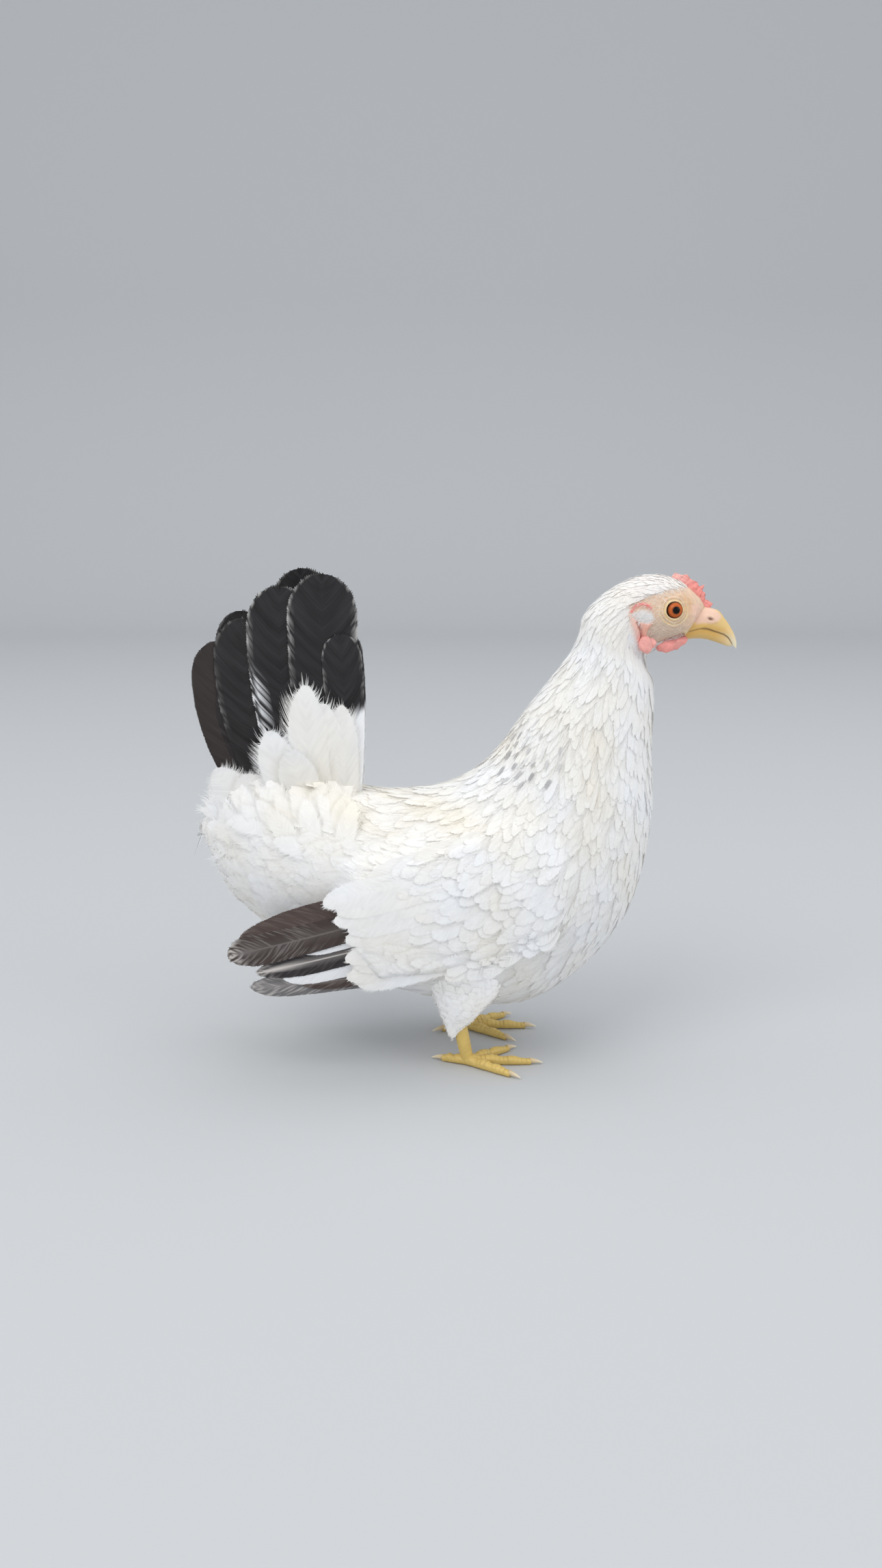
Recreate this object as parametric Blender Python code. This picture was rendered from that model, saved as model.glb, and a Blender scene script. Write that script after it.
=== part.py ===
"""A Japanese bantam hen, standing low, as a life-size model.

Frame: +X points towards the bill, +Y to the bird's left and +Z up. The origin is on the
floor under the middle of the bird's box. All lengths are in metres.
"""

import math
from collections import namedtuple

import bmesh
import bpy
from mathutils import Vector

# Gap that touching pieces keep, and the gap that a cut leaves around a neighbour.
GAP = 0.0003
CUT_GAP = 0.0004

# Sections of the body from the bill's root to the rear fluff. Each has its point on the back
# line (x, z), its point on the belly line (x, z) and its half width.
BODY_SECTIONS = (
    (0.1110, 0.2223, 0.0998, 0.2052, 0.0060),
    (0.1066, 0.2262, 0.0982, 0.2044, 0.0090),
    (0.0992, 0.2323, 0.0950, 0.2034, 0.0120),
    (0.0878, 0.2361, 0.0890, 0.2020, 0.0135),
    (0.0750, 0.2345, 0.0842, 0.1994, 0.0140),
    (0.0624, 0.2275, 0.0823, 0.1971, 0.0145),
    (0.0529, 0.2172, 0.0832, 0.1919, 0.0155),
    (0.0478, 0.2010, 0.0864, 0.1830, 0.0170),
    (0.0276, 0.1741, 0.0863, 0.1548, 0.0240),
    (0.0072, 0.1474, 0.0864, 0.1123, 0.0325),
    (-0.0150, 0.1352, 0.0716, 0.0644, 0.0390),
    (-0.0416, 0.1329, 0.0280, 0.0274, 0.0420),
    (-0.0665, 0.1363, -0.0339, 0.0328, 0.0390),
    (-0.0995, 0.1440, -0.0882, 0.0562, 0.0290),
    (-0.1145, 0.1396, -0.1065, 0.0722, 0.0210),
    (-0.1238, 0.1295, -0.1196, 0.0863, 0.0120),
    (-0.1278, 0.1210, -0.1260, 0.1010, 0.0060),
)
BODY_SIDES = 24
# Where each piece of the body starts and ends along its sections, and its number of steps.
BODY_PIECES = {
    "head": (0.0, 4.9, 10),
    "neck": (4.9, 8.5, 8),
    "torso": (8.5, 12.3, 10),
    "rump": (12.3, 16.0, 8),
}

# The eye, its lids and the socket that holds it.
EYE_X = 0.0932
EYE_Z = 0.2205
EYE_RADIUS = 0.0044
EYE_DEPTH = 0.0098
LID_RADIUS = 0.0043
LID_THICKNESS = 0.0009
LID_Y = 0.0122
LID_STEPS_ROUND = 16
LID_STEPS_THROUGH = 6

# The bill's sections: a point on the ridge (x, z), a point on the edge (x, z), the half width.
UPPER_BILL_SECTIONS = (
    (0.1095, 0.2214, 0.0978, 0.2090, 0.0056),
    (0.1159, 0.2195, 0.1066, 0.2114, 0.0054),
    (0.1193, 0.2156, 0.1104, 0.2111, 0.0048),
    (0.1221, 0.2117, 0.1139, 0.2100, 0.0039),
    (0.1242, 0.2079, 0.1183, 0.2086, 0.0029),
    (0.1253, 0.2043, 0.1212, 0.2067, 0.0019),
    (0.1253, 0.2014, 0.1236, 0.2032, 0.0006),
)
LOWER_BILL_SECTIONS = (
    (0.0985, 0.2054, 0.0980, 0.2082, 0.0053),
    (0.1050, 0.2062, 0.1064, 0.2107, 0.0051),
    (0.1098, 0.2060, 0.1102, 0.2105, 0.0044),
    (0.1144, 0.2049, 0.1138, 0.2093, 0.0035),
    (0.1184, 0.2035, 0.1179, 0.2079, 0.0025),
    (0.1215, 0.2027, 0.1204, 0.2057, 0.0015),
    (0.1226, 0.2029, 0.1222, 0.2040, 0.0006),
)
# How full the round of each half is: a lower power is fuller at its sides.
UPPER_BILL_FULLNESS = 0.8
LOWER_BILL_FULLNESS = 0.7
BILL_RING_POINTS = 9
NOSTRIL = (0.1118, 0.0052, 0.2163)
NOSTRIL_LENGTH = 0.0022
NOSTRIL_DEPTH = 0.0016
NOSTRIL_HEIGHT = 0.0014

# The comb, from back to front: its base point (x, z) and its crest point (x, z).
COMB_SECTIONS = (
    (0.0925, 0.2310, 0.0932, 0.2348),
    (0.0950, 0.2305, 0.0950, 0.2370),
    (0.0975, 0.2300, 0.0980, 0.2361),
    (0.0995, 0.2285, 0.1008, 0.2362),
    (0.1012, 0.2270, 0.1024, 0.2342),
    (0.1030, 0.2255, 0.1056, 0.2326),
    (0.1042, 0.2243, 0.1066, 0.2308),
    (0.1050, 0.2233, 0.1090, 0.2314),
    (0.1060, 0.2220, 0.1080, 0.2290),
    (0.1068, 0.2208, 0.1096, 0.2276),
    (0.1078, 0.2198, 0.1096, 0.2250),
    (0.1090, 0.2190, 0.1110, 0.2242),
    (0.1105, 0.2185, 0.1134, 0.2226),
)
# The comb's half thickness from its base to its crest: pairs of a height's share and a length.
COMB_HALVES = ((0.0, 0.0017), (0.6, 0.00136), (1.0, 0.0008))

# The lumps of the left side's wattle and ear lobe: each one's middle and its three radii.
WATTLE_LUMPS = (
    ((0.0915, 0.0072, 0.2048), (0.0052, 0.0020, 0.0042)),
    ((0.0965, 0.0068, 0.2062), (0.0042, 0.0019, 0.0034)),
)
EAR_LOBE_LUMPS = (
    ((0.0795, 0.0142, 0.2170), (0.0074, 0.0022, 0.0056)),
    ((0.0800, 0.0126, 0.2085), (0.0052, 0.0028, 0.0076)),
)

# The wing's outer face: how far it stands from the middle, and how fast it falls away.
WING_REACH = 0.0500
WING_CENTRE = (-0.0300, 0.0860)
WING_FALL_FRONT = 1.5
WING_FALL_REAR = 1.0
WING_FALL_TOP = 7.3
WING_FALL_LOW = 2.0
WING_CORE_DEPTH = 0.0060
WING_CORE_OUTLINE = (
    (0.0300, 0.1220),
    (0.0422, 0.0996),
    (0.0390, 0.0760),
    (0.0100, 0.0630),
    (-0.0200, 0.0560),
    (-0.0440, 0.0530),
    (-0.0520, 0.0640),
    (-0.0560, 0.0820),
    (-0.0540, 0.0990),
    (-0.0250, 0.1100),
    (0.0080, 0.1210),
)
# Rows of wing feathers from the lowest layer to the top one. A row runs from its top feather to
# its bottom one, each given by root and tip (x, z). Tips in between bulge to the rear, and
# the lifts say how high a feather's root and tip lie on the wing's face.
# A shape gives a feather's width along its length, as pairs of a place and a share.
FeatherRow = namedtuple(
    "FeatherRow", "number top_root top_tip low_root low_tip bulge half_width lifts shape"
)
LONG_VANE = ((0.0, 0.5), (0.4, 0.9), (0.75, 1.0), (0.92, 0.72), (1.0, 0.22))
SHORT_VANE = ((0.0, 0.6), (0.55, 1.0), (0.88, 0.8), (1.0, 0.3))
FLIGHT_FEATHERS = FeatherRow(
    8, (-0.0380, 0.0930), (-0.1060, 0.0735), (-0.0180, 0.0580), (-0.1010, 0.0410),
    0.0085, 0.0072, (-0.0032, -0.0024), LONG_VANE,
)
GREAT_COVERTS = FeatherRow(
    6, (-0.0300, 0.1020), (-0.0660, 0.0900), (-0.0050, 0.0620), (-0.0530, 0.0485),
    0.0000, 0.0078, (-0.0024, 0.0006), SHORT_VANE,
)
MIDDLE_COVERTS = FeatherRow(
    6, (-0.0060, 0.1080), (-0.0400, 0.0985), (0.0150, 0.0650), (-0.0190, 0.0560),
    0.0000, 0.0076, (-0.0024, 0.0008), SHORT_VANE,
)
SMALL_COVERTS = FeatherRow(
    6, (0.0130, 0.1130), (-0.0160, 0.1060), (0.0300, 0.0740), (0.0040, 0.0640),
    0.0000, 0.0072, (-0.0024, 0.0008), SHORT_VANE,
)
WING_TILT = -0.0007
# A core's rings from its rim to its middle: the ring's share of the outline, and how deep its
# outer and inner sides lie, as shares of the core's depth.
PAD_RINGS = ((1.0, 0.25, 0.45), (0.85, 0.05, 0.8), (0.45, 0.0, 1.0))

# The tail's two upright fans, each a curved sheet that stands away from the middle.
TAIL_FRONT_X = -0.0560
TAIL_HALF_GAP = 0.0045
TAIL_SPREAD = 0.13
TAIL_BOW = 0.0030
TAIL_MIDDLE_Z = 0.1850
TAIL_HALF_HEIGHT = 0.0550
TAIL_TILT = 0.0007
TAIL_CORE_RISE = 0.0012
TAIL_CORE_DEPTH = 0.0024
TAIL_CORE_OUTLINE = (
    (-0.0540, 0.1250),
    (-0.0535, 0.1450),
    (-0.0560, 0.1600),
    (-0.0800, 0.1600),
    (-0.1010, 0.1570),
    (-0.1130, 0.1500),
    (-0.1120, 0.1300),
)
# How far the tips of the left fan stand behind and above those of the right one.
LEFT_FAN_LEAN = (-0.0035, 0.0010)
# Each tail feather's root, tip, sideways bend, half width, and how high root and tip lie.
TAIL_FEATHERS = (
    ((-0.1000, 0.1330), (-0.1141, 0.2065), 0.0060, 0.0135, (-0.0006, -0.0002)),
    ((-0.0960, 0.1330), (-0.1124, 0.1853), 0.0030, 0.0085, (0.0000, 0.0004)),
    ((-0.0900, 0.1330), (-0.1012, 0.2165), 0.0060, 0.0140, (-0.0005, 0.0000)),
    ((-0.0790, 0.1330), (-0.0865, 0.2301), 0.0050, 0.0150, (-0.0004, 0.0001)),
    ((-0.0670, 0.1330), (-0.0690, 0.2350), 0.0020, 0.0160, (-0.0004, 0.0002)),
    ((-0.0590, 0.1330), (-0.0627, 0.2080), -0.0010, 0.0090, (-0.0002, 0.0016)),
)
# The white coverts over the foot of each fan, and their feathers in the same form.
COVERT_RISE = 0.0034
COVERT_DEPTH = 0.0018
COVERT_OUTLINE = (
    (-0.0530, 0.1250),
    (-0.0520, 0.1450),
    (-0.0525, 0.1640),
    (-0.0650, 0.1640),
    (-0.0800, 0.1540),
    (-0.0960, 0.1480),
    (-0.1080, 0.1450),
    (-0.1080, 0.1320),
)
COVERT_FEATHERS = (
    ((-0.1020, 0.1340), (-0.1110, 0.1520), 0.0010, 0.0080, (-0.0010, 0.0002)),
    ((-0.0900, 0.1340), (-0.1010, 0.1570), 0.0010, 0.0080, (-0.0010, 0.0003)),
    ((-0.0790, 0.1340), (-0.0889, 0.1640), 0.0010, 0.0085, (-0.0010, 0.0004)),
    ((-0.0660, 0.1400), (-0.0725, 0.1840), 0.0010, 0.0100, (-0.0010, 0.0005)),
    ((-0.0580, 0.1380), (-0.0600, 0.1740), 0.0000, 0.0075, (-0.0008, 0.0006)),
)

# A feather's thickness along its middle and at its edges, and how much higher its middle is.
VANE_MIDDLE = 0.0009
VANE_EDGE = 0.0005
VANE_CAMBER = 0.0004

# The legs and feet. A thigh's section has its place (x, z), its half length and its half width.
THIGH_SIDES = 16
THIGH_SECTIONS = (
    (0.0020, 0.0600, 0.0210, 0.0140),
    (-0.0020, 0.0420, 0.0180, 0.0125),
    (-0.0050, 0.0300, 0.0110, 0.0090),
    (-0.0070, 0.0235, 0.0070, 0.0060),
)
FOOT_X = -0.0020
FOOT_Y = 0.0230
HOCK = (-0.0078, 0.0230, 0.0260)
# The shank's radius on its way from the hock to the ball of the foot: pairs of a place and a length.
SHANK_RADII = ((0.0, 0.0042), (0.35, 0.0033), (0.75, 0.0034), (1.0, 0.0028))
SHANK_SIDES = 10
TOE_RADIUS = 0.0024
# Each toe's length and its angle outwards from straight ahead, in degrees.
TOES = {
    "inner": (0.0260, -38.0),
    "middle": (0.0310, 0.0),
    "outer": (0.0250, 36.0),
    "hind": (0.0130, -160.0),
}
# The swelling of a toe's pads and joints: pairs of a place and a share of its radius.
TOE_PADS = ((0.0, 1.15), (0.2, 0.95), (0.38, 1.15), (0.55, 0.88), (0.7, 1.05), (0.86, 0.8), (1.0, 0.78))
TOE_TAPER = 0.18
CLAW_LENGTH = 0.0065
# A claw's sections: the share of its length, the height of its middle and its radius.
CLAW_SECTIONS = (
    (0.0, 0.0019, 0.0014),
    (0.35, 0.0019, 0.0012),
    (0.7, 0.0015, 0.0008),
    (1.0, 0.0010, 0.0002),
)
SOLE_SINK = 0.0004
GROUND_SIZE = (0.30, 0.30, 0.01)

# Edges sharper than this, in degrees, aren't shaded smooth.
SHARP_ANGLE = 50.0

# Each finish's colour (linear red, green, blue) and roughness.
FINISHES = {
    "white_feather": ((0.80, 0.79, 0.76), 0.75),
    "black_feather": ((0.022, 0.020, 0.021), 0.5),
    "face_skin": ((0.72, 0.45, 0.32), 0.6),
    "comb_skin": ((0.68, 0.19, 0.18), 0.5),
    "bill_horn": ((0.78, 0.55, 0.20), 0.35),
    "eye": ((0.42, 0.11, 0.03), 0.08),
    "leg_scale": ((0.72, 0.50, 0.14), 0.5),
    "claw_horn": ((0.55, 0.45, 0.30), 0.4),
}


def clear_scene():
    for old in list(bpy.data.objects):
        bpy.data.objects.remove(old, do_unlink=True)


def make_material(name, colour, roughness):
    material = bpy.data.materials.new(name)
    material.use_nodes = True
    shader = material.node_tree.nodes["Principled BSDF"]
    shader.inputs["Base Color"].default_value = (*colour, 1.0)
    shader.inputs["Roughness"].default_value = roughness
    shader.inputs["Metallic"].default_value = 0.0
    return material


def linked(name, build):
    """A new object in the scene that holds this bmesh."""
    mesh = bpy.data.meshes.new(name)
    build.to_mesh(mesh)
    build.free()
    made = bpy.data.objects.new(name, mesh)
    bpy.context.scene.collection.objects.link(made)
    return made


def closed_mesh(name, points, faces):
    """An object of one closed mesh whose faces all point outwards."""
    build = bmesh.new()
    corners = [build.verts.new(point) for point in points]
    for face in faces:
        build.faces.new([corners[index] for index in face])
    bmesh.ops.recalc_face_normals(build, faces=build.faces)
    return linked(name, build)


def apply_modifiers(made):
    """Bakes the object's modifiers into its mesh."""
    graph = bpy.context.evaluated_depsgraph_get()
    mesh = bpy.data.meshes.new_from_object(made.evaluated_get(graph))
    made.modifiers.clear()
    made.data = mesh


def remove(helpers):
    for helper in helpers:
        bpy.data.objects.remove(helper, do_unlink=True)


def boolean(made, others, operation):
    """Unites the other objects with this one, or cuts them from it, and removes them."""
    group = bpy.data.collections.new("pieces")
    bpy.context.scene.collection.children.link(group)
    for other in others:
        group.objects.link(other)
    modifier = made.modifiers.new("join", "BOOLEAN")
    modifier.operation = operation
    modifier.operand_type = "COLLECTION"
    modifier.collection = group
    apply_modifiers(made)
    remove(others)
    bpy.data.collections.remove(group)


def keep_largest(made):
    """Leaves only the closed surface with the most volume."""
    build = bmesh.new()
    build.from_mesh(made.data)
    left = set(build.verts)
    best, best_volume = None, -1.0
    while left:
        shell, edge_of_shell = set(), [left.pop()]
        while edge_of_shell:
            vertex = edge_of_shell.pop()
            shell.add(vertex)
            for edge in vertex.link_edges:
                other = edge.other_vert(vertex)
                if other in left:
                    left.remove(other)
                    edge_of_shell.append(other)
        faces = {face for vertex in shell for face in vertex.link_faces}
        volume = sum(face.calc_center_median().dot(face.normal) * face.calc_area() for face in faces)
        if volume > best_volume:
            best, best_volume = shell, volume
    bmesh.ops.delete(build, geom=[v for v in build.verts if v not in best], context="VERTS")
    build.to_mesh(made.data)
    build.free()


def spline(rows, place):
    """The row of numbers at this place along a smooth curve through the rows."""
    last = len(rows) - 1
    index = min(int(place), last - 1)
    t = place - index
    before = rows[max(index - 1, 0)]
    start, end = rows[index], rows[index + 1]
    after = rows[min(index + 2, last)]
    values = []
    for a, b, c, d in zip(before, start, end, after):
        values.append(b + 0.5 * t * (c - a + t * (2 * a - 5 * b + 4 * c - d + t * (3 * (b - c) + d - a))))
    return values


def loft(name, rings):
    """A closed mesh through rings that hold the same number of points, with flat ends."""
    sides = len(rings[0])
    points = [point for ring in rings for point in ring]
    faces = [tuple(range(sides)), tuple(range(len(points) - sides, len(points)))]
    for row in range(len(rings) - 1):
        for side in range(sides):
            a = row * sides + side
            b = row * sides + (side + 1) % sides
            faces.append((a, b, b + sides, a + sides))
    return closed_mesh(name, points, faces)


def ring_around(centre, across, up, sides, start=0.0):
    """Points of an ellipse spanned by two half axes."""
    ring = []
    for index in range(sides):
        angle = start + 2 * math.pi * index / sides
        ring.append(centre + across * math.sin(angle) + up * math.cos(angle))
    return ring


def body_ring(place, grow=0.0):
    back_x, back_z, belly_x, belly_z, half = spline(BODY_SECTIONS, place)
    back = Vector((back_x, 0, back_z))
    belly = Vector((belly_x, 0, belly_z))
    up = (back - belly) / 2
    up += up.normalized() * grow
    across = Vector((0, half + grow, 0))
    return ring_around((back + belly) / 2, across, up, BODY_SIDES)


def places_of(piece):
    first, last, steps = BODY_PIECES[piece]
    return [first + (last - first) * step / steps for step in range(steps + 1)]


def body_piece(name):
    """One piece of the body. Each piece but the head starts just behind the one before it."""
    rings = [body_ring(place) for place in places_of(name)]
    if name != "head":
        normal = (rings[0][1] - rings[0][0]).cross(rings[0][2] - rings[0][0]).normalized()
        if normal.dot(rings[1][0] - rings[0][0]) < 0:
            normal = -normal
        rings[0] = [point + normal * CUT_GAP for point in rings[0]]
    return loft(name, rings)


def body_cutter(*pieces):
    """Neighbouring pieces of the body as one shape, larger all round by the gap of a cut."""
    places = sorted({place for piece in pieces for place in places_of(piece)})
    return loft("cutter", [body_ring(place, CUT_GAP) for place in places])


def ellipsoid(name, centre, radii, segments=16, rings=8):
    build = bmesh.new()
    bmesh.ops.create_uvsphere(build, u_segments=segments, v_segments=rings, radius=1.0)
    bmesh.ops.scale(build, vec=radii, verts=build.verts)
    bmesh.ops.translate(build, vec=centre, verts=build.verts)
    return linked(name, build)


def block(name, size, centre):
    build = bmesh.new()
    bmesh.ops.create_cube(build, size=1.0)
    bmesh.ops.scale(build, vec=size, verts=build.verts)
    bmesh.ops.translate(build, vec=centre, verts=build.verts)
    return linked(name, build)


def tube(name, path, radii, sides=8):
    """A round bar through the path's points with a radius at each."""
    rings = []
    for index, point in enumerate(path):
        ahead = path[min(index + 1, len(path) - 1)]
        behind = path[max(index - 1, 0)]
        along = (ahead - behind).normalized()
        across = along.cross(Vector((0, 0, 1)))
        if across.length < 0.1:
            across = Vector((0, 1, 0))
        across.normalize()
        up = across.cross(along)
        rings.append(ring_around(point, across * radii[index], up * radii[index], sides, math.pi / sides))
    return loft(name, rings)


def lid_ring(side):
    """A raised ring around the eye."""
    around, through = LID_STEPS_ROUND, LID_STEPS_THROUGH
    points = []
    for i in range(around):
        angle = 2 * math.pi * i / around
        for j in range(through):
            turn = 2 * math.pi * j / through
            radius = LID_RADIUS + LID_THICKNESS * math.cos(turn)
            points.append((
                EYE_X + radius * math.cos(angle),
                side * (LID_Y + LID_THICKNESS * math.sin(turn)),
                EYE_Z + radius * math.sin(angle),
            ))
    faces = []
    for i in range(around):
        for j in range(through):
            a, b = i * through + j, i * through + (j + 1) % through
            c, d = ((i + 1) % around) * through + (j + 1) % through, ((i + 1) % around) * through + j
            faces.append((a, b, c, d))
    return closed_mesh("lid", points, faces)


def make_head():
    head = body_piece("head")
    boolean(head, [lid_ring(side) for side in (-1, 1)], "UNION")
    socket = EYE_RADIUS + GAP
    sockets = []
    for side in (-1, 1):
        sockets.append(ellipsoid("socket", (EYE_X, side * EYE_DEPTH, EYE_Z), (socket,) * 3))
    boolean(head, sockets, "DIFFERENCE")
    keep_largest(head)
    return head


def make_eye(side):
    name = "eye_left" if side > 0 else "eye_right"
    return ellipsoid(name, (EYE_X, side * EYE_DEPTH, EYE_Z), (EYE_RADIUS,) * 3)


def bill_ring(section, fullness, grow=0.0):
    """A half-round section: an arc over the ridge, closed by the flat of the mouth."""
    ridge_x, ridge_z, edge_x, edge_z, half = section
    ridge = Vector((ridge_x, 0, ridge_z))
    edge = Vector((edge_x, 0, edge_z))
    up = ridge - edge
    out = up.normalized() * grow
    ring = []
    for index in range(BILL_RING_POINTS):
        angle = math.pi * index / (BILL_RING_POINTS - 1)
        lift = math.sin(angle) ** fullness
        ring.append(edge - out + Vector((0, (half + grow) * math.cos(angle), 0)) + (up + 2 * out) * lift)
    return ring


def bill_half(name, sections, fullness, grow=0.0):
    return loft(name, [bill_ring(section, fullness, grow) for section in sections])


def make_upper_bill():
    bill = bill_half("bill_upper", UPPER_BILL_SECTIONS, UPPER_BILL_FULLNESS)
    radii = (NOSTRIL_LENGTH / 2, NOSTRIL_DEPTH, NOSTRIL_HEIGHT / 2)
    cutters = [body_cutter("head")]
    for side in (-1, 1):
        centre = (NOSTRIL[0], side * NOSTRIL[1], NOSTRIL[2])
        cutters.append(ellipsoid("nostril", centre, radii, 10, 6))
    boolean(bill, cutters, "DIFFERENCE")
    keep_largest(bill)
    return bill


def make_lower_bill():
    bill = bill_half("bill_lower", LOWER_BILL_SECTIONS, LOWER_BILL_FULLNESS)
    boolean(bill, [body_cutter("head")], "DIFFERENCE")
    keep_largest(bill)
    return bill


def make_comb():
    """A low single comb with five points, cut clear of the head and the bill."""
    rings = []
    for base_x, base_z, crest_x, crest_z in COMB_SECTIONS:
        base = Vector((base_x, 0, base_z))
        crest = Vector((crest_x, 0, crest_z))
        ring = []
        for share, half in COMB_HALVES:
            ring.append(base.lerp(crest, share) + Vector((0, half, 0)))
        for share, half in reversed(COMB_HALVES):
            ring.append(base.lerp(crest, share) - Vector((0, half, 0)))
        rings.append(ring)
    comb = loft("comb", rings)
    bill = bill_half("bill", UPPER_BILL_SECTIONS, UPPER_BILL_FULLNESS, CUT_GAP)
    boolean(comb, [body_cutter("head"), bill], "DIFFERENCE")
    keep_largest(comb)
    return comb


def make_soft_lobe(name, lumps, side):
    """Rounded lumps of bare skin joined into one fold, cut clear of the head and the neck."""
    pieces = []
    for (x, y, z), radii in lumps:
        pieces.append(ellipsoid(name, (x, side * y, z), radii, 14, 8))
    lobe = pieces[0]
    boolean(lobe, pieces[1:], "UNION")
    boolean(lobe, [body_cutter("head", "neck")], "DIFFERENCE")
    keep_largest(lobe)
    return lobe


def make_wattle(side):
    return make_soft_lobe("wattle_left" if side > 0 else "wattle_right", WATTLE_LUMPS, side)


def make_ear_lobe(side):
    return make_soft_lobe("ear_lobe_left" if side > 0 else "ear_lobe_right", EAR_LOBE_LUMPS, side)


def wing_face(x, z):
    """Distance of the folded wing's outer face from the middle of the bird."""
    along = x - WING_CENTRE[0]
    rise = z - WING_CENTRE[1]
    fall_along = WING_FALL_FRONT if along > 0 else WING_FALL_REAR
    fall_rise = WING_FALL_TOP if rise > 0 else WING_FALL_LOW
    return WING_REACH - fall_along * along ** 2 - fall_rise * rise ** 2


def tail_face(x, z):
    """Distance of a tail fan's middle from the middle of the bird."""
    bow = 1.0 - ((z - TAIL_MIDDLE_Z) / TAIL_HALF_HEIGHT) ** 2
    return TAIL_HALF_GAP + TAIL_SPREAD * max(0.0, TAIL_FRONT_X - x) + TAIL_BOW * bow


def pad(name, face, side, outline, depth, between=2):
    """A cushion of this outline under a curved face: thin at its rim, deep in its middle."""
    count = len(outline)
    closed = [*outline[-1:], *outline, *outline[:2]]
    rim = []
    for index in range(count * between):
        rim.append(spline(closed, 1 + index / between))
    middle = Vector([sum(values) / len(rim) for values in zip(*rim)])
    outer, inner = [], []
    for share, top, low in PAD_RINGS:
        for point in rim:
            x, z = middle.lerp(Vector(point), share)
            outer.append((x, side * (face(x, z) - depth * top), z))
            inner.append((x, side * (face(x, z) - depth * low), z))
    x, z = middle
    points = [*outer, (x, side * face(x, z), z), *inner, (x, side * (face(x, z) - depth), z)]
    total = len(rim)
    under = len(outer) + 1
    faces = []
    for index in range(total):
        ahead = (index + 1) % total
        for row in range(len(PAD_RINGS) - 1):
            a, b = row * total + index, row * total + ahead
            faces.append((a, b, b + total))
            faces.append((a, b + total, a + total))
            faces.append((under + b, under + a, under + b + total))
            faces.append((under + b + total, under + a, under + a + total))
        last = (len(PAD_RINGS) - 1) * total
        faces.append((last + index, last + ahead, under - 1))
        faces.append((under + last + ahead, under + last + index, len(points) - 1))
        faces.append((ahead, index, under + index))
        faces.append((ahead, under + index, under + ahead))
    return closed_mesh(name, points, faces)


def vane(face, side, root, tip, half_width, lifts, tilt, bend=0.0, shape=LONG_VANE):
    """One feather on a curved face: a thin leaf, higher along its middle, round at its tip."""
    start, end = Vector(root), Vector(tip)
    along = (end - start).normalized()
    across = Vector((-along.y, along.x))
    points = []
    for place, share in shape:
        middle = start.lerp(end, place) + across * bend * math.sin(math.pi * place)
        lift = lifts[0] + (lifts[1] - lifts[0]) * place
        outer, inner = [], []
        for side_share in (-1, 0, 1):
            x, z = middle + across * half_width * share * side_share
            height = face(x, z) + lift + tilt * side_share + VANE_CAMBER * (1 - abs(side_share))
            thickness = VANE_EDGE if side_share else VANE_MIDDLE
            outer.append((x, side * height, z))
            inner.append((x, side * (height - thickness), z))
        points += outer + inner[::-1]
    faces = [(0, 1, 4, 5), (1, 2, 3, 4)]
    for row in range(len(shape) - 1):
        for column in range(6):
            a = row * 6 + column
            b = row * 6 + (column + 1) % 6
            if column in (0, 2, 3):
                faces += [(a, b, b + 6), (a, b + 6, a + 6)]
            else:
                faces += [(a, b, a + 6), (b, b + 6, a + 6)]
    last = (len(shape) - 1) * 6
    for ends in ((0, 1, 4, 5), (1, 2, 3, 4)):
        faces.append(tuple(last + corner for corner in ends))
    return closed_mesh("vane", points, faces)


def row_of_vanes(row, side):
    """The feathers of one row on the wing, from its top to its bottom."""
    vanes = []
    for index in range(row.number):
        share = index / (row.number - 1)
        root = Vector(row.top_root).lerp(Vector(row.low_root), share)
        tip = Vector(row.top_tip).lerp(Vector(row.low_tip), share)
        tip.x -= row.bulge * math.sin(math.pi * share)
        size = (row.half_width, row.lifts, WING_TILT)
        vanes.append(vane(wing_face, side, root, tip, *size, shape=row.shape))
    return vanes


def make_wing(side):
    """The folded wing: a shallow core of short feathers under rows of coverts and long feathers."""
    name = "wing_left" if side > 0 else "wing_right"
    wing = pad(name, wing_face, side, WING_CORE_OUTLINE, WING_CORE_DEPTH)
    vanes = []
    for row in (FLIGHT_FEATHERS, GREAT_COVERTS, MIDDLE_COVERTS, SMALL_COVERTS):
        vanes += row_of_vanes(row, side)
    boolean(wing, vanes, "UNION")
    boolean(wing, [body_cutter("neck", "torso", "rump")], "DIFFERENCE")
    keep_largest(wing)
    return wing


def make_tail(side):
    """One upright fan of black tail feathers, each lying over the one behind it."""
    def core_face(x, z):
        return tail_face(x, z) + TAIL_CORE_RISE

    name = "tail_left" if side > 0 else "tail_right"
    tail = pad(name, core_face, side, TAIL_CORE_OUTLINE, TAIL_CORE_DEPTH)
    vanes = []
    lean = Vector(LEFT_FAN_LEAN) if side > 0 else Vector((0, 0))
    for root, tip, bend, half_width, lifts in TAIL_FEATHERS:
        vanes.append(vane(tail_face, side, root, Vector(tip) + lean, half_width, lifts, TAIL_TILT, bend))
    boolean(tail, vanes, "UNION")
    boolean(tail, [body_cutter("torso", "rump")], "DIFFERENCE")
    keep_largest(tail)
    return tail


def make_tail_coverts(side):
    """The white feathers that cover the foot of a tail fan on its outer side."""
    def covert_face(x, z):
        return tail_face(x, z) + COVERT_RISE

    name = "tail_coverts_left" if side > 0 else "tail_coverts_right"
    coverts = pad(name, covert_face, side, COVERT_OUTLINE, COVERT_DEPTH)
    vanes = []
    for root, tip, bend, half_width, lifts in COVERT_FEATHERS:
        vanes.append(vane(covert_face, side, root, tip, half_width, lifts, TAIL_TILT, bend))
    boolean(coverts, vanes, "UNION")
    boolean(coverts, [body_cutter("torso", "rump")], "DIFFERENCE")
    keep_largest(coverts)
    return coverts


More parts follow.
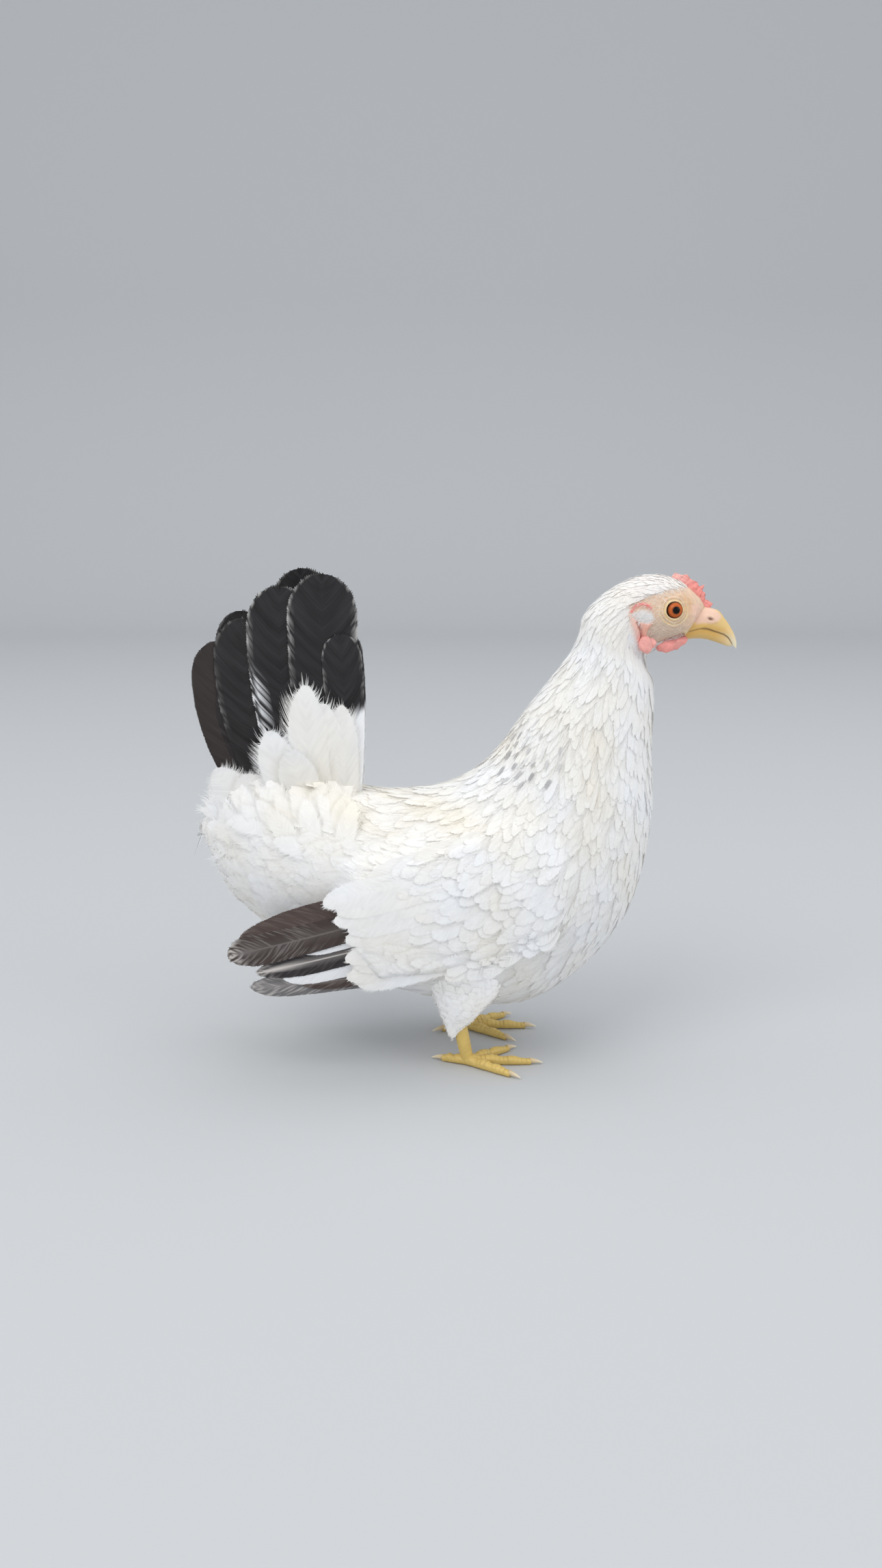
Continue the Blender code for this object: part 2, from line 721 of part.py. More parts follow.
def thigh(side, grow=0.0):
    """The feathered thigh, from inside the belly down to its flat end at the shank."""
    rings = []
    for x, z, along, half in THIGH_SECTIONS:
        centre = Vector((x, side * FOOT_Y, z))
        across = Vector((0, half + grow, 0))
        ahead = Vector((along + grow, 0, 0))
        rings.append(ring_around(centre, across, ahead, THIGH_SIDES))
    rings[-1] = [point - Vector((0, 0, grow)) for point in rings[-1]]
    return loft("thigh_left" if side > 0 else "thigh_right", rings)


def make_thigh(side):
    made = thigh(side)
    boolean(made, [body_cutter("torso", "rump")], "DIFFERENCE")
    keep_largest(made)
    return made


def toe_heading(angle, side):
    turn = math.radians(angle)
    return Vector((math.cos(turn), side * math.sin(turn), 0))


def make_toe(side, length, angle):
    """A toe along the floor, sunk a little into it so that its sole can be cut flat."""
    ball = Vector((FOOT_X, side * FOOT_Y, 0))
    path, radii = [], []
    for share, swell in TOE_PADS:
        radius = TOE_RADIUS * swell * (1.0 - TOE_TAPER * share)
        level = Vector((0, 0, radius - SOLE_SINK))
        path.append(ball + toe_heading(angle, side) * length * share + level)
        radii.append(radius)
    return tube("toe", path, radii)


def make_foot(side):
    """The shank and its four toes, with flat soles on the floor."""
    top = Vector((HOCK[0], side * HOCK[1], HOCK[2]))
    ball = Vector((FOOT_X, side * FOOT_Y, TOE_RADIUS))
    path = [top.lerp(ball, place) for place, _ in SHANK_RADII]
    radii = [radius for _, radius in SHANK_RADII]
    foot = tube("foot_left" if side > 0 else "foot_right", path, radii, SHANK_SIDES)
    boolean(foot, [make_toe(side, length, angle) for length, angle in TOES.values()], "UNION")
    ground = block("ground", GROUND_SIZE, (0.0, 0.0, -GROUND_SIZE[2] / 2))
    boolean(foot, [ground, thigh(side, CUT_GAP)], "DIFFERENCE")
    keep_largest(foot)
    return foot


def make_claw(side, toe):
    """A claw that starts at its toe's end and curves down towards the floor."""
    length, angle = TOES[toe]
    heading = toe_heading(angle, side)
    start = Vector((FOOT_X, side * FOOT_Y, 0)) + heading * (length + CUT_GAP)
    path, radii = [], []
    for share, height, radius in CLAW_SECTIONS:
        path.append(start + heading * CLAW_LENGTH * share + Vector((0, 0, height)))
        radii.append(radius)
    return tube(f"claw_{toe}_{'left' if side > 0 else 'right'}", path, radii)


def finish(made, material):
    """Gives the piece its material and smooth shading, and puts its origin at its middle."""
    mesh = made.data
    mesh.materials.clear()
    mesh.materials.append(material)
    mesh.shade_smooth()
    mesh.set_sharp_from_angle(angle=math.radians(SHARP_ANGLE))
    lows = [min(vertex.co[axis] for vertex in mesh.vertices) for axis in range(3)]
    highs = [max(vertex.co[axis] for vertex in mesh.vertices) for axis in range(3)]
    middle = Vector([(low + high) / 2 for low, high in zip(lows, highs)])
    for vertex in mesh.vertices:
        vertex.co -= middle
    made.location = middle
    return lows, highs


def main():
    clear_scene()
    look = {name: make_material(name, colour, roughness) for name, (colour, roughness) in FINISHES.items()}
    pieces = [
        (make_head(), look["face_skin"]),
        (body_piece("neck"), look["white_feather"]),
        (body_piece("torso"), look["white_feather"]),
        (body_piece("rump"), look["white_feather"]),
        (make_upper_bill(), look["bill_horn"]),
        (make_lower_bill(), look["bill_horn"]),
        (make_comb(), look["comb_skin"]),
    ]
    for side in (-1, 1):
        pieces.append((make_eye(side), look["eye"]))
        pieces.append((make_wattle(side), look["comb_skin"]))
        pieces.append((make_ear_lobe(side), look["comb_skin"]))
        pieces.append((make_wing(side), look["white_feather"]))
        pieces.append((make_tail(side), look["black_feather"]))
        pieces.append((make_tail_coverts(side), look["white_feather"]))
        pieces.append((make_thigh(side), look["white_feather"]))
        pieces.append((make_foot(side), look["leg_scale"]))
        for toe in TOES:
            pieces.append((make_claw(side, toe), look["claw_horn"]))
    boxes = [finish(made, material) for made, material in pieces]
    middle_x = (min(low[0] for low, _ in boxes) + max(high[0] for _, high in boxes)) / 2
    hen = bpy.data.objects.new("hen", None)
    bpy.context.scene.collection.objects.link(hen)
    hen.location = (-middle_x, 0, 0)
    for made, _ in pieces:
        made.parent = hen


main()
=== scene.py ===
"""A Japanese bantam hen as a life-size model: its skin, plumage, bill, eyes, feet and stage.

The sizes are in metres in the bird's own frame: +X to the bill, +Y to its left, +Z up.
"""

import math
from collections import namedtuple

import bpy
import numpy as np
from bpy.props import FloatProperty, FloatVectorProperty, PointerProperty
from bpy.types import Operator, Panel, PropertyGroup
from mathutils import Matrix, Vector


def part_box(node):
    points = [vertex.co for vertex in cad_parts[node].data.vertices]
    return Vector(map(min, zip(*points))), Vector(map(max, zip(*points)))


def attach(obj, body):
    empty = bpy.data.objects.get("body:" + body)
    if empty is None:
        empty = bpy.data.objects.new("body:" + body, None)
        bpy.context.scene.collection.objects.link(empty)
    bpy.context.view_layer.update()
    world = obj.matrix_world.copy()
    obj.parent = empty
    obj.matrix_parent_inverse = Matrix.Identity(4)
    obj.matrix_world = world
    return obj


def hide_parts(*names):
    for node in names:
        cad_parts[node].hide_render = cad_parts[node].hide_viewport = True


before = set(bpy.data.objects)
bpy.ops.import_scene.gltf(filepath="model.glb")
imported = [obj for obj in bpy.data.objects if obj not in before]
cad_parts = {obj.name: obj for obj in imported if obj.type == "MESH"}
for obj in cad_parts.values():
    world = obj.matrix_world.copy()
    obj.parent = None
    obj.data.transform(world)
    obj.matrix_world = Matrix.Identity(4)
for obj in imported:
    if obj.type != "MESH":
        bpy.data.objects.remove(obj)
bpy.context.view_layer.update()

bl_info = {
    "name": "Japanese bantam hen",
    "version": (1, 0, 0),
    "blender": (4, 5, 0),
    "location": "3D View > Sidebar > Hen",
    "description": "Builds the skin, plumage, bill, eyes and feet of a small hen, and its stage",
    "category": "Object",
}

BODY = "root"
SIDES = {"right": -1, "left": 1}

# Sections of the plumage's outline from the bill's root to the rear fluff. Each has its point
# on the back line (x, z), its point on the belly line (x, z) and its half width.
BODY_SECTIONS = (
    (0.1110, 0.2223, 0.0998, 0.2052, 0.0060),
    (0.1066, 0.2262, 0.0982, 0.2044, 0.0090),
    (0.0992, 0.2323, 0.0950, 0.2034, 0.0120),
    (0.0878, 0.2361, 0.0890, 0.2020, 0.0135),
    (0.0750, 0.2345, 0.0842, 0.1994, 0.0140),
    (0.0624, 0.2275, 0.0823, 0.1971, 0.0145),
    (0.0529, 0.2172, 0.0832, 0.1919, 0.0155),
    (0.0478, 0.2010, 0.0864, 0.1830, 0.0170),
    (0.0276, 0.1741, 0.0863, 0.1548, 0.0240),
    (0.0072, 0.1474, 0.0864, 0.1123, 0.0325),
    (-0.0150, 0.1352, 0.0716, 0.0644, 0.0390),
    (-0.0416, 0.1329, 0.0280, 0.0274, 0.0420),
    (-0.0665, 0.1363, -0.0339, 0.0328, 0.0390),
    (-0.0995, 0.1440, -0.0882, 0.0562, 0.0290),
    (-0.1145, 0.1396, -0.1065, 0.0722, 0.0210),
    (-0.1238, 0.1295, -0.1196, 0.0863, 0.0120),
    (-0.1278, 0.1210, -0.1260, 0.1010, 0.0060),
)
HEAD_END = 4.9
LAST_SECTION = 16.0

EYE = (0.0932, 0.0098, 0.2205)
EYE_RADIUS = 0.0044
EYE_OPENING = 0.0037

# The bill's sections: a point on the ridge (x, z), a point on the edge (x, z), the half width.
UPPER_BILL_SECTIONS = (
    (0.1095, 0.2214, 0.0978, 0.2090, 0.0056),
    (0.1159, 0.2195, 0.1066, 0.2114, 0.0054),
    (0.1193, 0.2156, 0.1104, 0.2111, 0.0048),
    (0.1221, 0.2117, 0.1139, 0.2100, 0.0039),
    (0.1242, 0.2079, 0.1183, 0.2086, 0.0029),
    (0.1253, 0.2043, 0.1212, 0.2067, 0.0019),
    (0.1253, 0.2014, 0.1236, 0.2032, 0.0006),
)
LOWER_BILL_SECTIONS = (
    (0.0985, 0.2054, 0.0980, 0.2094, 0.0054),
    (0.1050, 0.2062, 0.1064, 0.2118, 0.0051),
    (0.1098, 0.2060, 0.1102, 0.2116, 0.0044),
    (0.1144, 0.2049, 0.1138, 0.2106, 0.0035),
    (0.1184, 0.2035, 0.1180, 0.2092, 0.0025),
    (0.1212, 0.2026, 0.1208, 0.2071, 0.0016),
    (0.1232, 0.2026, 0.1230, 0.2046, 0.0007),
)
NOSTRIL = (0.1117, 0.2157)
NOSTRIL_TILT = math.radians(-22)
NOSTRIL_STRETCH = 2.2

# The comb, from back to front: its base point (x, z) and its crest point (x, z).
COMB_SECTIONS = (
    (0.0925, 0.2310, 0.0932, 0.2348),
    (0.0950, 0.2305, 0.0950, 0.2370),
    (0.0975, 0.2300, 0.0980, 0.2361),
    (0.0995, 0.2285, 0.1008, 0.2362),
    (0.1012, 0.2270, 0.1024, 0.2342),
    (0.1030, 0.2255, 0.1056, 0.2326),
    (0.1042, 0.2243, 0.1066, 0.2308),
    (0.1050, 0.2233, 0.1090, 0.2314),
    (0.1060, 0.2220, 0.1080, 0.2290),
    (0.1068, 0.2208, 0.1096, 0.2276),
    (0.1078, 0.2198, 0.1096, 0.2250),
    (0.1090, 0.2190, 0.1110, 0.2242),
    (0.1105, 0.2185, 0.1134, 0.2226),
)

# The face's soft parts, each as a line or an outline on the side of the head (x, z).
EAR_ARC = ((0.0728, 0.2188), (0.0736, 0.2207), (0.0751, 0.2226), (0.0772, 0.2233),
           (0.0795, 0.2233), (0.0813, 0.2223), (0.0825, 0.2208))
EAR_PATCH = ((0.0746, 0.2188), (0.0787, 0.2206), (0.0828, 0.2188), (0.0838, 0.2165),
             (0.0807, 0.2143), (0.0775, 0.2156))
EAR_LOBE = ((0.0724, 0.2183), (0.0730, 0.2143), (0.0745, 0.2093), (0.0764, 0.2048),
            (0.0779, 0.2014), (0.0797, 0.2007), (0.0824, 0.2021), (0.0842, 0.2043),
            (0.0855, 0.2055), (0.0850, 0.2053), (0.0814, 0.2057), (0.0809, 0.2080),
            (0.0812, 0.2111), (0.0838, 0.2147), (0.0775, 0.2156))
LOBE_FOLD = ((0.0761, 0.2147), (0.0776, 0.2111), (0.0782, 0.2075), (0.0796, 0.2048))
FEATHER_LIMIT = ((0.0650, 0.2185), (0.0732, 0.2243), (0.0786, 0.2270), (0.0849, 0.2284),
                 (0.0912, 0.2297), (0.0980, 0.2306), (0.1015, 0.2320), (0.1035, 0.2380))
CERE = ((0.1020, 0.2225), (0.1066, 0.2250), (0.1125, 0.2213), (0.1160, 0.2185), (0.1173, 0.2167),
        (0.1151, 0.2144), (0.1124, 0.2137), (0.1082, 0.2140), (0.1055, 0.2135), (0.1030, 0.2150))
CHEEK_EDGE = ((0.0845, 0.2033), (0.0857, 0.2039), (0.0898, 0.2055), (0.0938, 0.2069), (0.0988, 0.2083))
GAPE = (0.1000, 0.2095)

# The wattle's and the ear lobe's soft lumps: centre, radii, tilt, paleness and shaded top.
SOFT_LUMPS = (
    ((0.0922, 0.0068, 0.2038), (0.0062, 0.0022, 0.0032), math.radians(14), 0.30, 0.65),
    ((0.0966, 0.0066, 0.2054), (0.0044, 0.0019, 0.0025), math.radians(20), 0.30, 0.65),
    ((0.0801, 0.0134, 0.2046), (0.0032, 0.0019, 0.0042), math.radians(12), 0.55, 0.15),
    ((0.0828, 0.0122, 0.2052), (0.0026, 0.0014, 0.0024), math.radians(35), 0.60, 0.25),
)

# The folded wing's outer face: how far its middle stands from the middle of the bird, and how
# steeply it falls away to the front, the rear, the top and the bottom.
WING_REACH = 0.0500
WING_CENTRE = (-0.0300, 0.0860)
FALL_FRONT, FALL_REAR, FALL_TOP, FALL_BOTTOM = 1.5, 1.0, 7.3, 2.0
WING_OUTLINE = (
    (0.0300, 0.1220), (0.0422, 0.0996), (0.0390, 0.0760), (0.0100, 0.0630),
    (-0.0200, 0.0560), (-0.0440, 0.0530), (-0.0520, 0.0640), (-0.0560, 0.0820),
    (-0.0540, 0.0990), (-0.0250, 0.1100), (0.0080, 0.1210),
)

# Behind this line (z, x) no covert has its root.
COVERT_END = (
    (0.050, 0.004), (0.060, 0.002), (0.070, -0.002), (0.078, -0.008), (0.088, -0.016), (0.110, -0.034),
)

# The tail's two upright fans: each feather's root and tip (x, z), bend, half width, lift, the
# share of its length at which it is broadest, and how far the far fan's tip lies from it.
TailFeather = namedtuple("TailFeather", "root tip bend half_width lift full lean", defaults=((0.0, 0.0),))
TAIL_FEATHERS = (
    TailFeather((-0.1020, 0.1330), (-0.1150, 0.2070), 0.0060, 0.0132, 0.0000, 0.78, (-0.0020, -0.0030)),
    TailFeather((-0.0960, 0.1330), (-0.1124, 0.1853), 0.0030, 0.0090, 0.0005, 0.75, (0.0000, 0.0000)),
    TailFeather((-0.0920, 0.1330), (-0.1030, 0.2167), 0.0060, 0.0142, 0.0010, 0.80, (-0.0060, 0.0015)),
    TailFeather((-0.0800, 0.1330), (-0.0875, 0.2303), 0.0045, 0.0152, 0.0017, 0.82, (-0.0020, -0.0010)),
    TailFeather((-0.0680, 0.1330), (-0.0700, 0.2352), 0.0010, 0.0166, 0.0024, 0.82, (-0.0125, 0.0015)),
    TailFeather((-0.0600, 0.1330), (-0.0632, 0.2082), -0.0010, 0.0096, 0.0034, 0.84, (-0.0010, 0.0000)),
)

# A fan's distance from the middle at the front, how much it spreads behind that place (x), and
# how far it bows out around its middle height.
TAIL_GAP, TAIL_SPREAD, TAIL_FRONT = 0.0045, 0.13, -0.0560
TAIL_BOW, TAIL_MIDDLE, TAIL_HALF = 0.0030, 0.1850, 0.0550

# The thigh's sections (x, z, half length, half width) and the foot's places.
THIGH_SECTIONS = (
    (0.0020, 0.0600, 0.0210, 0.0140),
    (-0.0020, 0.0420, 0.0180, 0.0125),
    (-0.0050, 0.0300, 0.0110, 0.0090),
    (-0.0070, 0.0235, 0.0070, 0.0060),
)
FOOT = (-0.0020, 0.0230)
HOCK = (-0.0078, 0.0230, 0.0260)
TOE_RADIUS = 0.0024
# Each toe's length and its angle from straight ahead, in degrees.
TOES = {
    "inner": (0.0260, -38.0), "middle": (0.0310, 0.0), "outer": (0.0250, 36.0), "hind": (0.0130, -160.0),
}
# A toe's joints: their places along it and how much they swell.
TOE_SWELLS = ((0.0, 1.1), (0.2, 0.95), (0.38, 1.1), (0.55, 0.9), (0.7, 1.03), (0.86, 0.82), (1.0, 0.74))
CLAW_LENGTH = 0.0065
FOOT_FLOOR = 0.0002

FULL_TURN = (0.0, 2 * math.pi)
EYE_LOW, EYE_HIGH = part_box("eye_right")
SHIFT = np.array(((EYE_LOW.x + EYE_HIGH.x) / 2 - EYE[0], 0.0, 0.0))


def unit(vectors):
    return vectors / np.maximum(np.linalg.norm(vectors, axis=-1, keepdims=True), 1e-12)


def circle(number):
    """Angles spread evenly round a full turn."""
    return np.linspace(0, 2 * math.pi, number, endpoint=False)


def grid_of(rows, columns):
    """Two grids of numbers: each place's row and each place's column."""
    return np.meshgrid(rows, columns, indexing="ij")


def band(gap, wide):
    """One on a line, falling away softly with the distance from it."""
    return np.exp(-(gap / wide) ** 2)


def blob(x, z, at_x, wide, at_z, tall):
    """One in the middle of an oval (x, z), falling away softly with the distance from it."""
    return np.exp(-(((x - at_x) / wide) ** 2 + ((z - at_z) / tall) ** 2))


def dot(a, b):
    return np.sum(a * b, axis=-1, keepdims=True)


def smooth(low, high, value):
    """Rises from 0 at low to 1 at high with a soft start and end."""
    share = np.clip((value - low) / (high - low), 0.0, 1.0)
    return share * share * (3 - 2 * share)


def curve(rows, place):
    """The rows of numbers at these places along a smooth curve through the rows, and past its ends."""
    rows = np.asarray(rows, float)
    last = len(rows) - 1
    wanted = np.asarray(place, float)
    place = np.clip(wanted, 0, last)
    beyond = (wanted - place)[..., None]
    index = np.clip(place.astype(int), 0, last - 1)
    t = (place - index)[..., None]
    before = rows[np.maximum(index - 1, 0)]
    start, end = rows[index], rows[index + 1]
    after = rows[np.minimum(index + 2, last)]
    cubic = 2 * before - 5 * start + 4 * end - after + t * (3 * (start - end) + after - before)
    straight_on = 0.5 * beyond * np.where(beyond > 0, rows[-1] - rows[-2], rows[1] - rows[0])
    return start + straight_on + 0.5 * t * (end - before + t * cubic)


def depth_inside(x, z, outline):
    """How far each point lies inside an outline, and below zero outside it."""
    nearest = np.full(np.shape(x), 1.0)
    inside = np.zeros(np.shape(x), bool)
    corners = list(outline)
    for (x0, z0), (x1, z1) in zip(corners, corners[1:] + corners[:1]):
        dx, dz = x1 - x0, z1 - z0
        t = np.clip(((x - x0) * dx + (z - z0) * dz) / (dx * dx + dz * dz + 1e-18), 0, 1)
        nearest = np.minimum(nearest, np.hypot(x - x0 - t * dx, z - z0 - t * dz))
        slope = dx / dz if dz else 0.0
        inside ^= ((z0 > z) != (z1 > z)) & (x < x0 + (z - z0) * slope)
    return np.where(inside, nearest, -nearest)


def distance_to(x, z, line):
    """Each point's distance from a line of points, and its place along that line."""
    nearest = np.full(np.shape(x), 1.0)
    place = np.zeros(np.shape(x))
    for index, ((x0, z0), (x1, z1)) in enumerate(zip(line[:-1], line[1:])):
        dx, dz = x1 - x0, z1 - z0
        t = np.clip(((x - x0) * dx + (z - z0) * dz) / (dx * dx + dz * dz), 0, 1)
        gap = np.hypot(x - x0 - t * dx, z - z0 - t * dz)
        place = np.where(gap < nearest, (index + t) / (len(line) - 1), place)
        nearest = np.minimum(nearest, gap)
    return nearest, place


def ripple(points, size, seed):
    """A smooth, seeded variation from -1 to 1 over space, about this many metres across."""
    draw = np.random.default_rng(seed)
    total = np.zeros(len(points))
    for _ in range(6):
        direction = unit(draw.normal(size=3))
        waves = points @ direction * (2 * math.pi / size) * draw.uniform(0.6, 1.5)
        total += np.sin(waves + draw.uniform(0, 6.3))
    return total / 3.0


def body_surface(s, turn):
    """The plumage's outline: turn 0 is the back line, and a quarter turn the left side."""
    rows = curve(BODY_SECTIONS, s)
    back, belly, half = rows[..., 0:2], rows[..., 2:4], rows[..., 4]
    middle, up = (back + belly) / 2, (back - belly) / 2
    level = np.cos(turn)
    return np.stack([middle[..., 0] + up[..., 0] * level, half * np.sin(turn),
                     middle[..., 1] + up[..., 1] * level], -1)


def wing_reach(x, z):
    """Distance of the folded wing's outer face from the middle of the bird."""
    along, rise = x - WING_CENTRE[0], z - WING_CENTRE[1]
    fall_along = np.where(along > 0, FALL_FRONT, FALL_REAR)
    fall_rise = np.where(rise > 0, FALL_TOP, FALL_BOTTOM)
    return WING_REACH - fall_along * along ** 2 - fall_rise * rise ** 2


def tail_reach(x, z):
    """Distance of a tail fan's middle from the middle of the bird."""
    bow = TAIL_BOW * (1 - ((z - TAIL_MIDDLE) / TAIL_HALF) ** 2)
    return TAIL_GAP + TAIL_SPREAD * np.maximum(0.0, TAIL_FRONT - x) + bow


def draped_surface(s, turn):
    """The body's outline where its feathers hang over the top and front of the wings."""
    points = body_surface(s, turn)
    x, y, z = points[..., 0], points[..., 1], points[..., 2]
    over = smooth(-0.010, 0.003, depth_inside(x, z, WING_OUTLINE)) * smooth(0.35, 0.75, np.abs(np.sin(turn)))
    lack = np.maximum(0.0, wing_reach(x, z) + 0.0006 - np.abs(y))
    points[..., 1] = y + np.sign(y) * over * lack
    return points


def sheet(side, reach, rise=0.0):
    """A surface given by x and z, on one side of the bird at this reach from its middle."""
    return lambda x, z: np.stack([x, side * (reach(x, z) + rise), z], -1)


def thigh_surface(side):
    def surface(row, turn):
        x, z, along, half = np.moveaxis(curve(THIGH_SECTIONS, row), -1, 0)
        return np.stack([x + along * np.cos(turn), side * FOOT[1] + half * np.sin(turn), z], -1)

    return surface


def frame_on(surface, out, u, v):
    """Points of a surface, both its tangents, and its unit normals turned outwards."""
    step = 1e-4
    points = surface(u, v)
    along_u = (surface(u + step, v) - surface(u - step, v)) / (2 * step)
    along_v = (surface(u, v + step) - surface(u, v - step)) / (2 * step)
    return points, along_u, along_v, out * unit(np.cross(along_v, along_u))


def on_line(place, line):
    """A line's second number where its first is this place."""
    return np.interp(place, *zip(*line))


def first_mask(values):
    """Four masks for each point, of which only the first varies."""
    masks = np.zeros((len(values), 4))
    masks[:, 0] = values
    masks[:, 3] = 1.0
    return masks


def add_mesh(name, points, faces, material, colours=None, vectors=None, patch=None):
    """A mesh object of triangles, with its masks as attributes and its patches as a UV map."""
    mesh = bpy.data.meshes.new(name)
    faces = np.asarray(faces, np.int32)
    mesh.vertices.add(len(points))
    mesh.vertices.foreach_set("co", (points + SHIFT).astype(np.float32).ravel())
    mesh.loops.add(faces.size)
    mesh.loops.foreach_set("vertex_index", faces.ravel())
    mesh.polygons.add(len(faces))
    mesh.polygons.foreach_set("loop_start", np.arange(0, faces.size, faces.shape[1], dtype=np.int32))
    mesh.update(calc_edges=True)
    for label, values in (colours or {}).items():
        layer = mesh.attributes.new(label, "FLOAT_COLOR", "POINT")
        layer.data.foreach_set("color", values.astype(np.float32).ravel())
    for label, values in (vectors or {}).items():
        layer = mesh.attributes.new(label, "FLOAT_VECTOR", "POINT")
        layer.data.foreach_set("vector", values.astype(np.float32).ravel())
    if patch is not None:
        layer = mesh.uv_layers.new(name="OFBake")
        layer.data.foreach_set("uv", patch[faces.ravel()].astype(np.float32).ravel())
    mesh.shade_smooth()
    mesh.materials.append(material)
    made = bpy.data.objects.new(name, mesh)
    bpy.context.scene.collection.objects.link(made)
    return made


def settle(piece, slot, *nodes):
    """Sets what a finished piece rides on and hides the solids that it stands for; its slot is not used."""
    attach(piece, BODY)
    if nodes:
        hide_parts(*nodes)


def grid_faces(rows, columns, closed=True):
    """Triangles between neighbouring rows of a grid of points."""
    row = np.arange(rows - 1)[:, None] * columns
    column = np.arange(columns if closed else columns - 1)[None, :]
    ahead = (column + 1) % columns
    a, b = row + column, row + ahead
    quads = np.stack([a, b, b + columns, a + columns], -1).reshape(-1, 4)
    return np.concatenate([quads[:, [0, 1, 2]], quads[:, [0, 2, 3]]])


# How far a vane is usually shaded like the body under it rather than by its own slope.
SOFTNESS = 0.6


class Heap:
    """Meshes gathered into one, with their masks and the outward directions of what they lie on."""

    def __init__(self):
        self.points, self.faces, self.tints, self.vanes = [], [], [], []
        self.patches, self.normals = [], []
        self.count = 0

    def add(self, points, faces, tints, vanes, patches, normals):
        self.points.append(points.reshape(-1, 3))
        self.faces.append(faces.reshape(-1, 3) + self.count)
        self.tints.append(tints.reshape(-1, 4))
        self.vanes.append(vanes.reshape(-1, 3))
        self.patches.append(patches.reshape(-1, 2))
        self.normals.append(normals.reshape(-1, 3))
        self.count += len(self.points[-1])

    def build(self, name, material, softness=SOFTNESS):
        """Softness is how far the shading takes after the body rather than the single vane."""
        if not self.count:
            raise RuntimeError(f"{name} has no feathers")
        points, faces = np.concatenate(self.points), np.concatenate(self.faces)
        outward = np.concatenate(self.normals)
        a, b, c = points[faces[:, 0]], points[faces[:, 1]], points[faces[:, 2]]
        facing = np.cross(b - a, c - a)
        inward = (facing * outward[faces].mean(axis=1)).sum(axis=1) < 0
        faces[inward] = faces[inward][:, ::-1]
        piece = add_mesh(name, points, faces, material, {"tint": np.concatenate(self.tints)},
                         {"vane": np.concatenate(self.vanes)}, np.concatenate(self.patches))
        if softness:
            own = np.zeros(len(points) * 3, np.float32)
            piece.data.vertices.foreach_get("normal", own)
            blend = unit(outward * softness + own.reshape(-1, 3) * (1 - softness))
            piece.data.normals_split_custom_set_from_vertices([tuple(row) for row in blend])
        return piece


# One feather's flat shape: where each corner lies along and across it, how far out it is
# from the shaft, which barb it is on, and how much it rises by chance.
VaneShape = namedtuple("VaneShape", "along across out barb rise faces")
# How far a barb's root lies behind its end, in half widths, and where the shaft ends.
BARB_SLANT = 1.15
SHAFT_END = 0.96


def vane_width(along, full, base=0.7, blunt=2.1):
    """The width of a broad vane's outline along its length, as a share of its greatest."""
    rise = base + (1 - base) * np.sin(0.5 * math.pi * np.clip(along / full, 0, 1)) ** 0.8
    return rise * np.clip(1 - (np.maximum(along - full, 0) / (1 - full)) ** blunt, 0, 1) ** 0.5


def vane_shape(barbs, ratio, split, base, full, blunt, seed, fray, gaps, loose=False, columns=(0.35,),
               bias=1.0):
    """A vane whose barbs part at their ends. Ratio is its half width over its length.

    Split is the share of each barb that holds to the next, and a bias under one sets the
    barbs closer towards the tip."""
    draw = np.random.default_rng(seed)
    t = np.linspace(0, 1, 400)
    width = vane_width(t, full, base, blunt)
    arc = np.concatenate([[0], np.cumsum(np.hypot(np.diff(t), ratio * np.diff(width)))])
    edge = np.interp(np.linspace(0, 1, barbs + 1) ** bias * arc[-1], arc, t)
    edge_width = np.interp(edge, t, width)
    shaft = np.clip(edge - BARB_SLANT * edge_width * ratio, 0, SHAFT_END)
    shaft = np.maximum.accumulate(shaft) + np.linspace(0, 0.004, barbs + 1)
    along, across, out, barb, high = [], [], [], [], []

    def corner(place_along, place_across, share, k, lift=0.0):
        for values, value in zip((along, across, out, barb, high),
                                 (place_along, place_across, share, k / barbs, lift)):
            values.append(value)
        return len(along) - 1

    def between(values, k):
        low = int(k)
        return values[low] + (values[min(low + 1, barbs)] - values[low]) * (k - low)

    def on_barb(k, share):
        foot = between(shaft, k)
        return foot + (between(edge, k) - foot) * share ** 1.2, between(edge_width, k) * share

    faces = []
    middle = [corner(shaft[k], 0.0, 0.0, k) for k in range(barbs + 1)]
    for side in (-1, 1):
        last = middle
        for share in [split] if loose else [*(share * split for share in columns), split]:
            column = []
            for k in range(barbs + 1):
                place, reach = on_barb(k, share)
                column.append(corner(place, side * reach, share, k))
            for k in range(barbs):
                faces += [(last[k], column[k], column[k + 1]), (last[k], column[k + 1], last[k + 1])]
            last = column
        drift = 0.0
        for k in range(barbs):
            drift = 0.7 * drift + draw.normal() * fray
            if draw.random() < gaps:
                continue
            reach = 1.0 + 0.5 * drift + draw.uniform(-fray, fray)
            tip_along, tip_across = on_barb(k + 0.5, reach)
            lift = draw.normal() * fray * 2
            if not loose:
                tip = corner(tip_along + 0.3 * drift, side * tip_across, 1.0, k + 0.5, lift * 0.3)
                faces.append((last[k], tip, last[k + 1]))
                continue
            share = split + (1 - split) * 0.55
            ends = []
            for part in (0.25, 0.75):
                place, wide = on_barb(k + part, share)
                ends.append(corner(place + drift * 0.4, side * wide, share, k + part, lift * 0.5))
            faces += [(last[k], ends[0], ends[1]), (last[k], ends[1], last[k + 1])]
            tip = corner(tip_along + drift, side * tip_across, 1.0, k + 0.5, lift)
            faces.append((ends[0], tip, ends[1]))
    faces = np.array(faces)
    across = np.array(across)
    turned = across[faces].sum(axis=1) > 0
    faces[turned] = faces[turned][:, ::-1]
    return VaneShape(np.array(along), across, np.array(out), np.array(barb), np.array(high), faces)


